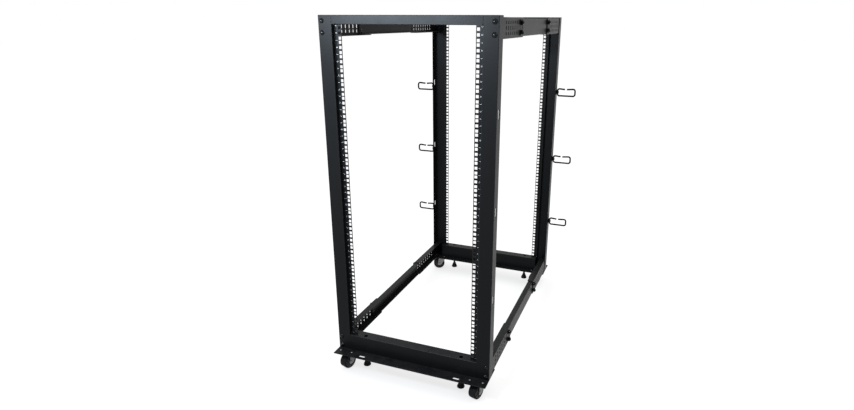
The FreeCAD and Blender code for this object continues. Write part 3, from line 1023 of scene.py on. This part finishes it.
@dataclass
class UnitMarks:
    """White dashes between the rack units, and each unit's number by its middle hole.

    Attributes:
        column: From the middle of the rack to the marks.
        dash: Width and height of a dash.
        figure: Height of a number.
        relief: Height of the ink over the flange.
    """

    column: float = 244.6 * MM
    dash: Pair = (6.0 * MM, 0.9 * MM)
    figure: float = 4.4 * MM
    relief: float = 0.08 * MM

    CAP_SHARE = 0.72
    CURVE_STEPS = 2

    def number(self, value: int) -> bmesh.types.BMesh:
        """Builds one number in the XY plane, centred.

        Args:
            value: The number.

        Returns:
            The mesh.
        """
        curve = bpy.data.curves.new("figure", "FONT")
        curve.body = str(value)
        curve.size = self.figure / self.CAP_SHARE
        curve.align_x = "CENTER"
        curve.align_y = "CENTER"
        curve.extrude = self.relief
        curve.resolution_u = self.CURVE_STEPS
        holder = bpy.data.objects.new("figure", curve)
        bpy.context.scene.collection.objects.link(holder)
        mesh = bpy.data.meshes.new_from_object(holder)
        bpy.data.objects.remove(holder)
        bpy.data.curves.remove(curve)
        form = bmesh.new()
        form.from_mesh(mesh)
        bpy.data.meshes.remove(mesh)
        bmesh.ops.remove_doubles(form, verts=form.verts, dist=WELD)
        return form

    def build(self) -> None:
        """Builds the marks of each post as one piece."""
        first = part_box("front_base_bar")[1].z + ABOVE_BAR
        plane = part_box("front_right_post")[0].y + FACE_STEP
        for end in End:
            facing = Matrix.Rotation(math.pi / 2, 4, "X")
            if end is End.REAR:
                facing = Matrix.Rotation(math.pi, 4, "Z") @ facing
            for side in Side:
                form = bmesh.new()
                x = side.sign * self.column
                y = plane * -end.sign
                dash = bmesh.new()
                size = Matrix.Diagonal((self.dash[0], self.dash[1], 2 * self.relief, 1))
                bmesh.ops.create_cube(dash, size=1.0, matrix=size)
                heights = [first + unit * UNIT for unit in range(UNITS + 1)]
                added(form, dash, [Matrix.Translation((x, y, z)) @ facing for z in heights])
                for unit in range(UNITS):
                    z = first + (unit + 0.5) * UNIT
                    added(form, self.number(unit + 1), [Matrix.Translation((x, y, z)) @ facing])
                name = f"{end.value}_{side.value}_unit_marks"
                piece(name, form, MARK_INK, FRAME_BODY)


class BentBar:
    """A bar or wire bent along a line in one plane, from a section swept by the tool."""

    def __init__(self, section: list[Vector], start: Vector, heading: Vector, across: Vector) -> None:
        """Starts the bar with its end face.

        Args:
            section: Corners of the section, as (across, up) offsets in X and Y.
            start: Middle of the first end.
            heading: Direction of the first run.
            across: Direction square to the plane of the bends.
        """
        self.form = bmesh.new()
        self.at = start.copy()
        self.heading = heading.normalized()
        self.across = across.normalized()
        up = self.heading.cross(self.across)
        self.ring = [self.form.verts.new(start + self.across * p.x + up * p.y) for p in section]
        self.form.faces.new(self.ring)

    def grow(self, move: Matrix) -> None:
        """Adds the next ring of points, with the faces up to it.

        Args:
            move: From the last ring to the next.
        """
        ahead = [self.form.verts.new(move @ vert.co) for vert in self.ring]
        skinned(self.form, self.ring + self.ring[:1], ahead + ahead[:1])
        self.ring = ahead

    def forward(self, length: float) -> None:
        """Runs the bar straight on."""
        run = self.heading * length
        self.grow(Matrix.Translation(run))
        self.at = self.at + run

    def turn(self, angle: float, radius: float, steps: int) -> None:
        """Bends the bar.

        Args:
            angle: Turn about the direction across, in radians.
            radius: Radius of the bend's middle line.
            steps: Facets along the bend.
        """
        inward = self.across.cross(self.heading) * math.copysign(1.0, angle)
        centre = self.at + inward * radius
        facet = Matrix.Rotation(angle / steps, 4, self.across)
        for _ in range(steps):
            self.grow(Matrix.Translation(centre) @ facet @ Matrix.Translation(-centre))
        rotation = Matrix.Rotation(angle, 3, self.across)
        self.at = centre + rotation @ (self.at - centre)
        self.heading = rotation @ self.heading

    def through(self, points: list[Vector], radius: float, steps: int) -> bmesh.types.BMesh:
        """Bends the bar round each inner point of a line and closes its end.

        Args:
            points: Corners of the line, the start first.
            radius: Radius of each bend's middle line.
            steps: Facets along each bend.

        Returns:
            The closed mesh.
        """
        used = 0.0
        for before, corner, after in zip(points, points[1:], points[2:]):
            into = (corner - before).normalized()
            away = (after - corner).normalized()
            angle = math.copysign(into.angle(away), into.cross(away).dot(self.across))
            reach = radius * math.tan(abs(angle) / 2)
            self.forward((corner - before).length - used - reach)
            self.turn(angle, radius, steps)
            used = reach
        self.forward((points[-1] - points[-2]).length - used)
        return self.close()

    def close(self) -> bmesh.types.BMesh:
        """Caps the far end.

        Returns:
            The closed mesh.
        """
        self.form.faces.new(self.ring)
        bmesh.ops.recalc_face_normals(self.form, faces=self.form.faces)
        return self.form


@dataclass
class CableHook:
    """A cable hook: a wire loop with a gap in its top run, held by a saddle on a plate.

    Attributes:
        wire: Radius of the wire.
        bend: Radius of the bends' middle line.
        gap: Width of the gap.
        gap_out: From the post's face to the middle of the gap.
        dip: How far the wire's two ends dip.
        plate: Thickness, width and height of the plate.
        plate_corner: Radius of the plate's corners.
        saddle: Thickness and height of the saddle's strap.
    """

    wire: float = 3.6 * MM
    bend: float = 9.0 * MM
    gap: float = 9.0 * MM
    gap_out: float = 43.0 * MM
    dip: float = 3.0 * MM
    plate: tuple[float, float, float] = (2.0 * MM, 26.0 * MM, 16.0 * MM)
    plate_corner: float = 2.5 * MM
    saddle: Pair = (2.0 * MM, 10.0 * MM)

    WIRE_SIDES = 12
    BEND_STEPS = 7
    CORNER_STEPS = 4

    def wire_points(self, base: float, y: float, low: float, high: float, far: float) -> list[Vector]:
        """Corners of the wire's line, from one end to the other.

        Args:
            base: X of the plate's back.
            y: The hook's plane.
            low: Lowest point of the hook.
            high: Highest point of the hook.
            far: X of the hook's tip.

        Returns:
            The corner points.
        """
        near = base + self.plate[0] + self.wire
        tip = far - self.wire
        top = high - self.wire
        bottom = low + self.wire
        gap = base + self.gap_out
        return [
            Vector((gap - self.gap / 2, y, top - self.dip)),
            Vector((near, y, top)),
            Vector((near, y, bottom)),
            Vector((tip, y, bottom)),
            Vector((tip, y, top)),
            Vector((gap + self.gap / 2, y, top - self.dip)),
        ]

    def loop(self, points: list[Vector]) -> bmesh.types.BMesh:
        """Bends the wire.

        Args:
            points: Corners of its line.

        Returns:
            The closed mesh.
        """
        turns = [2 * math.pi * i / self.WIRE_SIDES for i in range(self.WIRE_SIDES)]
        section = [Vector((math.cos(t), math.sin(t))) * self.wire for t in turns]
        bar = BentBar(section, points[0], points[1] - points[0], Vector((0, 1, 0)))
        return bar.through(points, self.bend, self.BEND_STEPS)

    def strap(self, base: float, y: float, middle: float) -> bmesh.types.BMesh:
        """Bends the saddle's strap round the wire.

        Args:
            base: X of the plate's front.
            y: The hook's plane.
            middle: Height of the hook's middle.

        Returns:
            The closed mesh.
        """
        thick, tall = self.saddle
        section = [
            Vector((sx * tall / 2, sy * thick / 2)) for sx, sy in ((-1, -1), (1, -1), (1, 1), (-1, 1))
        ]
        radius = self.wire + thick / 2
        start = Vector((base, y - radius, middle))
        bar = BentBar(section, start, Vector((1, 0, 0)), Vector((0, 0, 1)))
        bar.forward(self.wire)
        bar.turn(math.pi, radius, 2 * self.BEND_STEPS)
        bar.forward(self.wire)
        return bar.close()

    def build(self) -> None:
        """Builds the six hooks in their nodes' places."""
        thick = self.plate[0]
        for number in (1, 2, 3):
            for side in Side:
                node = f"{side.value}_cable_hook_{number}"
                low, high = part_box(f"right_cable_hook_{number}")
                y = (low.y + high.y) / 2
                form = self.loop(self.wire_points(low.x, y, low.z, high.z, high.x))
                middle = (low.z + high.z) / 2
                added(form, self.strap(low.x + thick, y, middle), [Matrix.Identity(4)])
                centre = Vector((low.x + thick / 2, y, middle))
                backing = rounded_plate(centre, Vector(self.plate), 0, self.plate_corner, self.CORNER_STEPS)
                added(form, backing, [Matrix.Identity(4)])
                placed(form, corner_matrix(End.FRONT, side))
                piece(f"{node}_wire", form, WIRE_COAT, FRAME_BODY, (node,))


def threaded_rod(radius: float, depth: float, pitch: float, turns: int, steps: int) -> bmesh.types.BMesh:
    """A threaded rod along +Z from Z 0, with a true helical thread.

    Args:
        radius: Radius over the crests.
        depth: Depth of the thread.
        pitch: Rise of one turn.
        turns: Number of turns.
        steps: Sides to a turn.

    Returns:
        The closed mesh.
    """
    form = bmesh.new()
    lines = []
    for reach, start, count in ((radius - depth, 0.0, turns + 1), (radius, pitch / 2, turns)):
        angles = [2 * math.pi * i / steps for i in range(steps * count + 1)]
        lines.append([
            form.verts.new((reach * math.cos(a), reach * math.sin(a), start + pitch * a / (2 * math.pi)))
            for a in angles
        ])
    root, crest = lines
    skinned(form, root[:len(crest)], crest)
    skinned(form, crest, root[steps:])
    form.faces.new([crest[0], *root[steps::-1]])
    form.faces.new([*root[-steps - 1:], crest[-1]])
    return form


@dataclass
class LevellingFoot:
    """A levelling foot: a moulded bell pad on a threaded stem, through a nut on the plate.

    Attributes:
        pad_edge: Height of the pad's straight rim.
        pad_round: Radius of the rim's edges.
        neck: Radius at the top of the bell.
        neck_round: Chamfer of the neck, inwards and down.
        neck_rise: Height of the bell's top.
        flare: How strongly the bell is hollowed, 1 for a plain cone.
        stem: Radius of the stem.
        stem_sunk: How far the stem starts under the bell's top.
        pitch: Pitch of its thread.
        depth: Depth of its thread.
        nut_flats: Width across the flats of the nut on the plate.
        nut_height: Height of that nut.
        nut_chamfer: Chamfer of its corners.
        nut_recess: How far inside the nut its filling ends.
    """

    pad_edge: float = 5.0 * MM
    pad_round: float = 1.6 * MM
    neck: float = 7.0 * MM
    neck_round: Pair = (0.6 * MM, 1.0 * MM)
    neck_rise: float = 23.0 * MM
    flare: float = 1.4
    stem: float = 5.0 * MM
    stem_sunk: float = 1.0 * MM
    pitch: float = 1.5 * MM
    depth: float = 0.9 * MM
    nut_flats: float = 17.0 * MM
    nut_height: float = 8.0 * MM
    nut_chamfer: float = 1.2 * MM
    nut_recess: float = 7.0 * MM

    FLARE_STATIONS = (0.15, 0.3, 0.5, 0.75)
    STEPS = 32
    THREAD_STEPS = 14

    def bell(self, radius: float, bottom: float) -> bmesh.types.BMesh:
        """Turns the pad with its bell.

        Args:
            radius: Radius of the pad.
            bottom: Height of its underside.

        Returns:
            The closed mesh.
        """
        lip = self.pad_round
        rim = bottom + self.pad_edge
        top = bottom + self.neck_rise
        inward, down = self.neck_round
        outline = [(0.0, bottom), (radius - lip, bottom)]
        outline += arc((radius - lip, bottom + lip), lip, -67.5, 0, 3)
        outline += arc((radius - lip, rim - lip), lip, 0, 60, 3)
        for share in self.FLARE_STATIONS:
            reach = (radius - self.neck) * (1 - share) ** self.flare
            outline.append((self.neck + reach, rim + (top - rim) * share))
        outline += [(self.neck, top - down), (self.neck - inward, top), (0.0, top)]
        return turned(outline, self.STEPS)

    def build(self) -> None:
        """Builds the four feet, and the nuts on the plates."""
        for end in End:
            for side in Side:
                corner = f"{end.value}_{side.value}"
                node = f"{corner}_levelling_foot"
                low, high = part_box(node)
                middle = Vector(((low.x + high.x) / 2, (low.y + high.y) / 2, 0))
                place = Matrix.Translation(middle)
                body = f"{corner}_foot"
                form = placed(self.bell((high.x - low.x) / 2, low.z), place)
                piece(f"{corner}_foot_bell", form, FOOT_MOULDING, body, (node,))
                start = low.z + self.neck_rise - self.stem_sunk
                turns = int((high.z - start) / self.pitch) - 1
                rod = threaded_rod(self.stem, self.depth, self.pitch, turns, self.THREAD_STEPS)
                placed(rod, Matrix.Translation(middle + Vector((0, 0, start))))
                piece(f"{corner}_foot_stem", rod, BLACK_STEEL, body)
                nut = HexNut(
                    flats=self.nut_flats, height=self.nut_height, bolt=self.stem,
                    bolt_proud=-self.nut_recess, chamfer=self.nut_chamfer,
                ).build()
                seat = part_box(f"{end.value}_base_plate")[0].z
                placed(nut, Matrix.Translation((0, 0, seat)) @ Matrix.Rotation(math.pi, 4, "X"))
                piece(f"{corner}_foot_nut", placed(nut, place), BLACK_STEEL, FRAME_BODY)


@dataclass
class Caster:
    """A swivel caster: top plate with its race, fork, and a wheel on a bolt.

    Attributes:
        wheel: Radius of the wheel.
        width: Width of the wheel.
        tread: Depth of the rubber at the tread.
        tread_round: Round of the tread's edges.
        seat_round: Chamfer of the rubber's inner edges.
        hub: Radius of the hub's boss.
        hub_gap: Space between the boss and a fork leg.
        dish: Depth of the dish between the hub and the rim.
        rib: Thickness of the dish's ribs, and how much narrower than the wheel they are.
        ribs: Number of ribs.
        fork_gap: Space between the wheel and a fork leg.
        fork_sheet: Thickness of the fork.
        fork_round: Round of the fork's edges.
        plate: Thickness of the top plate.
        plate_corner: Radius of the plate's corners.
        plate_round: Round of the plate's edges.
        race: Radius of the swivel race's cup.
        race_drop: Height of the cup.
        race_lip: Round of the cup's lower edge.
        race_bore: Radius of the cup's bore.
        race_foot: Reach and heights of the cup's foot on the plate.
        hole_x: Half the spacing of the plate's bolts across.
        hole_y: Half the spacing of the plate's bolts along.
        bracket_lift: Height of the side bracket that a bolt's head may sit on.
        bolt_head: Radius, height and rim of a bolt's head.
    """

    wheel: float = 28.5 * MM
    width: float = 30.0 * MM
    tread: float = 6.5 * MM
    tread_round: float = 4.0 * MM
    seat_round: float = 1.0 * MM
    hub: float = 8.0 * MM
    hub_gap: float = 0.3 * MM
    dish: float = 4.5 * MM
    rib: Pair = (1.6 * MM, 3.6 * MM)
    ribs: int = 8
    fork_gap: float = 1.5 * MM
    fork_sheet: float = 2.5 * MM
    fork_round: float = 0.5 * MM
    plate: float = 2.5 * MM
    plate_corner: float = 6.0 * MM
    plate_round: float = 0.35 * MM
    race: float = 20.0 * MM
    race_drop: float = 7.2 * MM
    race_lip: float = 2.4 * MM
    race_bore: float = 4.1 * MM
    race_foot: tuple[float, float, float] = (0.8 * MM, 2.0 * MM, 0.8 * MM)
    hole_x: float = 23.5 * MM
    hole_y: float = 33.0 * MM
    bracket_lift: float = 2.8 * MM
    bolt_head: tuple[float, float, float] = (4.6 * MM, 2.2 * MM, 0.5 * MM)

    AXLE_HEAD = ((0.0, 0.0), (5.6 * MM, 0.0), (5.6 * MM, 1.0 * MM), (4.6 * MM, 1.9 * MM), (0.0, 2.0 * MM))
    STEPS = 40
    CORNER_STEPS = 5
    BOLT_STEPS = 20

    def axle_matrix(self, corner: str) -> Matrix:
        """Places what is made along Z at the wheel's middle, along its axle."""
        joint = next(j for j in frame["joints"] if j["name"] == f"{corner}_wheel_spin")
        return Matrix.Translation(joint["pos_m"]) @ outward(Vector(joint["axis"]))

    def swivel_point(self, corner: str) -> Vector:
        """Where the caster's swivel axis meets the floor."""
        joint = next(j for j in frame["joints"] if j["name"] == f"{corner}_swivel")
        return Vector((joint["pos_m"][0], joint["pos_m"][1], 0.0))

    def tyre(self) -> bmesh.types.BMesh:
        """Turns the rubber ring about Z.

        Returns:
            The closed mesh.
        """
        half = self.width / 2
        inner = self.wheel - self.tread
        seat = self.seat_round
        edge = self.tread_round
        outline = [(inner, -half + seat), (inner + seat, -half)]
        outline += arc((self.wheel - edge, -half + edge), edge, -90, 0, self.CORNER_STEPS)
        outline += arc((self.wheel - edge, half - edge), edge, 0, 90, self.CORNER_STEPS)
        outline += [(inner + seat, half), (inner, half - seat)]
        return turned(outline, self.STEPS, ring=True)

    def centre(self) -> bmesh.types.BMesh:
        """Turns the moulded centre about Z: rim, dished web and hub.

        Returns:
            The closed mesh.
        """
        half = self.width / 2
        hub = self.hub
        rim = self.wheel - self.tread
        boss = half + self.fork_gap - self.hub_gap
        floor = half - self.dish
        lip = rim - 2.2 * MM
        side = [
            (0.0, boss), (hub - 0.6 * MM, boss), (hub, boss - 0.6 * MM), (hub + 0.8 * MM, floor + 1.0 * MM),
            (hub + 2.0 * MM, floor), (lip - 1.6 * MM, floor), (lip - 0.4 * MM, floor + 1.0 * MM),
            (lip, half - 0.8 * MM), (lip + 0.5 * MM, half - 0.3 * MM), (rim, half - 0.3 * MM),
        ]
        outline = side + [(radius, -height) for radius, height in reversed(side)]
        return turned(outline, self.STEPS)

    def web(self) -> bmesh.types.BMesh:
        """Builds the ribs of the centre's dished web about Z.

        Returns:
            The mesh of closed ribs.
        """
        thick, narrower = self.rib
        length = self.wheel - self.tread - self.hub - 2.0 * MM
        rib = bmesh.new()
        size = Matrix.Diagonal((length, thick, self.width - narrower, 1))
        place = Matrix.Translation((self.hub + length / 2 - 0.2 * MM, 0, 0))
        bmesh.ops.create_cube(rib, size=1.0, matrix=place @ size)
        form = bmesh.new()
        added(form, rib, [Matrix.Rotation(2 * math.pi * i / self.ribs, 4, "Z") for i in range(self.ribs)])
        return form

    def axle(self) -> bmesh.types.BMesh:
        """Builds the axle bolt's head and nut on the fork's legs, about Z.

        Returns:
            The mesh of closed forms.
        """
        seat = self.width / 2 + self.fork_gap + self.fork_sheet
        form = bmesh.new()
        added(form, turned(self.AXLE_HEAD, self.BOLT_STEPS), [Matrix.Translation((0, 0, seat))])
        nut = HexNut(height=1.7 * MM, bolt_proud=0.3 * MM, chamfer=0.5 * MM)
        added(form, nut.build(), [Matrix.Translation((0, 0, -seat)) @ Matrix.Rotation(math.pi, 4, "X")])
        return form

    def cup(self, top: float) -> bmesh.types.BMesh:
        """Turns the fixed cup of the swivel race about Z.

        Args:
            top: Height of the plate's underside.

        Returns:
            The closed mesh.
        """
        lip = self.race_lip
        bottom = top - self.race_drop
        reach, upper, lower = self.race_foot
        foot = self.race + reach
        outline = [(self.race_bore, bottom), (self.race - lip, bottom)]
        outline += arc((self.race - lip, bottom + lip), lip, -67.5, 0, 4)
        outline += [(self.race, top - upper), (foot, top - lower), (foot, top), (self.race_bore, top)]
        return turned(outline, self.STEPS, ring=True)

    def top_plate(self, low: Vector, high: Vector) -> bmesh.types.BMesh:
        """Builds the top plate with rounded corners.

        Args:
            low: Lowest corner of the plate's node.
            high: Highest corner of the plate's node.

        Returns:
            The closed mesh.
        """
        middle = (low + high) / 2
        middle.z = high.z - self.plate / 2
        size = high - low
        size.z = self.plate
        form = rounded_plate(middle, size, 2, self.plate_corner, self.CORNER_STEPS)
        return softened(form, self.plate_round, 2)

    def build(self) -> None:
        """Builds the four casters in their nodes' places."""
        for end in End:
            for side in Side:
                self.build_corner(end, side)

    def build_corner(self, end: End, side: Side) -> None:
        """Builds one caster.

        Args:
            end: The upright frame that it is under.
            side: The side of the rack.
        """
        corner = f"{end.value}_{side.value}"
        axis = self.axle_matrix(corner)
        pivot = self.swivel_point(corner)
        low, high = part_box(f"{corner}_caster_plate")
        under = high.z - self.plate
        plate = self.top_plate(low, high)
        added(plate, self.cup(under), [Matrix.Translation(pivot)])
        node = f"{corner}_caster_plate"
        piece(f"{node}_zinc", plate, ZINC, FRAME_BODY, (node,))
        node = f"{corner}_caster_fork"
        fork = softened(merged_copy(node, []), self.fork_round, 2)
        piece(f"{node}_zinc", fork, ZINC, f"{corner}_fork", (node,))
        piece(f"{corner}_caster_axle_bolt", placed(self.axle(), axis), ZINC, f"{corner}_fork")
        node = f"{corner}_caster_wheel"
        tyre = placed(self.tyre(), axis)
        piece(f"{corner}_caster_tyre", tyre, TYRE_RUBBER, f"{corner}_wheel", (node,))
        centre = self.centre()
        added(centre, self.web(), [Matrix.Identity(4)])
        piece(f"{corner}_caster_hub", placed(centre, axis), HUB_PLASTIC, f"{corner}_wheel")
        self.build_bolts(end, side, pivot, under)

    def build_bolts(self, end: End, side: Side, pivot: Vector, under: float) -> None:
        """Builds the bolts that hold a caster to its base plate.

        Args:
            end: The upright frame.
            side: The side of the rack.
            pivot: The swivel axis on the floor.
            under: Height of the caster plate's underside.
        """
        plate_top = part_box(f"{end.value}_base_plate")[1].z
        heads = []
        nuts = []
        for out in (-1, 1):
            for along in (-1, 1):
                x = pivot.x + out * self.hole_x
                y = pivot.y + along * self.hole_y
                inward = along * -end.sign > 0
                outer = out * side.sign > 0
                lift = self.bracket_lift if inward and outer else 0.0
                heads.append(Matrix.Translation((x, y, plate_top + lift)))
                nuts.append(Matrix.Translation((x, y, under)) @ Matrix.Rotation(math.pi, 4, "X"))
        form = bmesh.new()
        added(form, DomeBolt(*self.bolt_head, steps=self.BOLT_STEPS).head(), heads)
        nut = HexNut(height=4.6 * MM, bolt_proud=1.6 * MM, washer=6.0 * MM)
        added(form, nut.build(), nuts)
        piece(f"{end.value}_{side.value}_caster_bolts", form, ZINC, FRAME_BODY)


@dataclass
class Viewpoint:
    """The photographed viewpoint, a plain perspective camera.

    Attributes:
        place: Where the camera stands.
        turn: Its turn about X, Y and Z.
        focal_px: Focal length in pixels of the picture.
        axis_px: Where the optical axis meets the picture.
        picture: Width and height of the picture.
    """

    place: tuple[float, float, float] = (0.7530, -2.0792, 1.2733)
    turn: tuple[float, float, float] = (1.2540, -0.0044, 0.3601)
    focal_px: float = 553.39
    axis_px: Pair = (452.03, 202.02)
    picture: tuple[int, int] = (854, 410)

    SENSOR = 36.0
    NEAR, FAR = 0.05, 100.0

    def build(self) -> None:
        """Makes the camera and gives it to the scene."""
        width, height = self.picture
        data = bpy.data.cameras.new("viewpoint")
        data.sensor_width = self.SENSOR
        data.lens = self.focal_px / width * self.SENSOR
        data.shift_x = (width / 2 - self.axis_px[0]) / width
        data.shift_y = (self.axis_px[1] - height / 2) / width
        data.clip_start, data.clip_end = self.NEAR, self.FAR
        camera = bpy.data.objects.new("viewpoint", data)
        camera.location = self.place
        camera.rotation_euler = self.turn
        bpy.context.scene.collection.objects.link(camera)
        bpy.context.scene.camera = camera
        log.info("camera at %s", tuple(camera.location))


@dataclass
class SoftBox:
    """A soft rectangular lamp.

    Attributes:
        name: The lamp's name.
        place: Where it stands.
        target: What it points at.
        size: Width and height.
        power: Power in watts.
        colour: Colour of its light.
    """

    name: str
    place: tuple[float, float, float]
    target: tuple[float, float, float]
    size: Pair
    power: float
    colour: Colour = (1.0, 1.0, 1.0)

    def build(self) -> None:
        """Makes the lamp, which the camera doesn't see."""
        data = bpy.data.lights.new(self.name, "AREA")
        data.shape = "RECTANGLE"
        data.size, data.size_y = self.size
        data.energy = self.power
        data.color = self.colour
        lamp = bpy.data.objects.new(self.name, data)
        place = Vector(self.place)
        lamp.location = place
        lamp.rotation_euler = (Vector(self.target) - place).to_track_quat("-Z", "Y").to_euler()
        lamp.visible_camera = False
        bpy.context.scene.collection.objects.link(lamp)
        log.info("lamp %s: %.0f W", self.name, self.power)


@dataclass
class Studio:
    """The pale floor, the white surround and the soft lamps.

    Attributes:
        floor_size: Side of the floor.
        floor_colour: Colour of the floor.
        floor_glow: Light that the floor shows to the camera by itself.
        open_glow: Glow that it adds where nothing stands over it, which sets how deep the painted shadow
            under the rack is.
        shade_reach: How far over it something dims that glow into painted shadow.
        ambient: Strength of the surround on the rack.
    """

    floor_size: float = 60.0
    floor_colour: float = 0.15
    floor_glow: float = 0.66
    open_glow: float = 0.36
    shade_reach: float = 0.35
    ambient: float = 0.16

    def build(self) -> None:
        """Builds the surround, the floor and the lamps."""
        bpy.context.scene.view_settings.view_transform = "Standard"
        self.build_surround()
        self.build_floor()
        for lamp in self.lamps():
            lamp.build()

    def lamps(self) -> list[SoftBox]:
        """The soft lamps."""
        cool, warm = (0.76, 0.88, 1.0), (1.0, 0.96, 0.90)
        return [
            SoftBox("front_softbox", (-0.42, -1.40, 1.36), (0.0, -0.5, 1.2), (0.70, 0.12), 32.0, cool),
            SoftBox("right_softbox", (2.4, -0.9, 2.6), (0.3, 0.0, 1.0), (1.4, 1.4), 22.0, warm),
            SoftBox("top_softbox", (0.0, 0.2, 3.6), (0.0, 0.0, 0.0), (2.6, 2.6), 18.0),
        ]

    @staticmethod
    def seen_directly(tree: bpy.types.NodeTree) -> bpy.types.NodeSocket:
        """Adds the share of rays that show the background: camera, glossy and transmitted.

        Args:
            tree: The node tree.

        Returns:
            The share's socket.
        """
        path = tree.nodes.new("ShaderNodeLightPath")
        total = path.outputs["Is Camera Ray"]
        for label in ("Is Glossy Ray", "Is Transmission Ray"):
            total = groups.math_node(tree, "MAXIMUM", total, path.outputs[label])
        return total

    def build_surround(self) -> None:
        """Makes the surround white to the camera and dim to the rack."""
        world = bpy.data.worlds.new("surround")
        world.use_nodes = True
        bpy.context.scene.world = world
        tree = world.node_tree
        tree.nodes.clear()
        mix = tree.nodes.new("ShaderNodeMixShader")
        tree.links.new(self.seen_directly(tree), mix.inputs[0])
        for slot, strength in zip(mix.inputs[1:], (self.ambient, 1.0)):
            shade = tree.nodes.new("ShaderNodeBackground")
            shade.inputs["Color"].default_value = (1.0, 1.0, 1.0, 1.0)
            shade.inputs["Strength"].default_value = strength
            tree.links.new(shade.outputs[0], slot)
        out = tree.nodes.new("ShaderNodeOutputWorld")
        tree.links.new(mix.outputs[0], out.inputs[0])

    def build_floor(self) -> None:
        """Lays the pale floor, which glows to the camera, keeps the rack's real shadow in its paint, and
        shows a painted shadow where ambient occlusion dims its glow.
        """
        form = bmesh.new()
        bmesh.ops.create_grid(form, x_segments=1, y_segments=1, size=self.floor_size / 2)
        mesh = bpy.data.meshes.new("floor")
        form.to_mesh(mesh)
        form.free()
        material = bpy.data.materials.new("pale_floor")
        material.use_nodes = True
        tree = material.node_tree
        tree.nodes.clear()
        paint = tree.nodes.new("ShaderNodeBsdfDiffuse")
        paint.inputs["Color"].default_value = (self.floor_colour,) * 3 + (1.0,)
        glow = tree.nodes.new("ShaderNodeEmission")
        # Painted shadow: ambient occlusion dims the floor's glow under and near the rack.
        painted_shadow_ao = tree.nodes.new("ShaderNodeAmbientOcclusion")
        painted_shadow_ao.inputs["Distance"].default_value = self.shade_reach
        share = painted_shadow_ao.outputs["AO"]
        light = groups.math_node(tree, "MULTIPLY_ADD", share, self.open_glow, self.floor_glow)
        strength = groups.math_node(tree, "MULTIPLY", light, self.seen_directly(tree))
        both = tree.nodes.new("ShaderNodeAddShader")
        out = tree.nodes.new("ShaderNodeOutputMaterial")
        tree.links.new(strength, glow.inputs["Strength"])
        tree.links.new(paint.outputs[0], both.inputs[0])
        tree.links.new(glow.outputs[0], both.inputs[1])
        tree.links.new(both.outputs[0], out.inputs[0])
        mesh.materials.append(material)
        floor = bpy.data.objects.new("floor", mesh)
        bpy.context.scene.collection.objects.link(floor)


def main() -> None:
    """Builds the rack's looks, the studio and the camera."""
    Viewpoint().build()
    Studio().build()
    for assembly in (SheetWork, PostScrews, RailBolts, UnitMarks, CableHook, LevellingFoot, Caster):
        log.info("building %s", assembly.__name__)
        assembly().build()


if __name__ == "__main__":
    main()
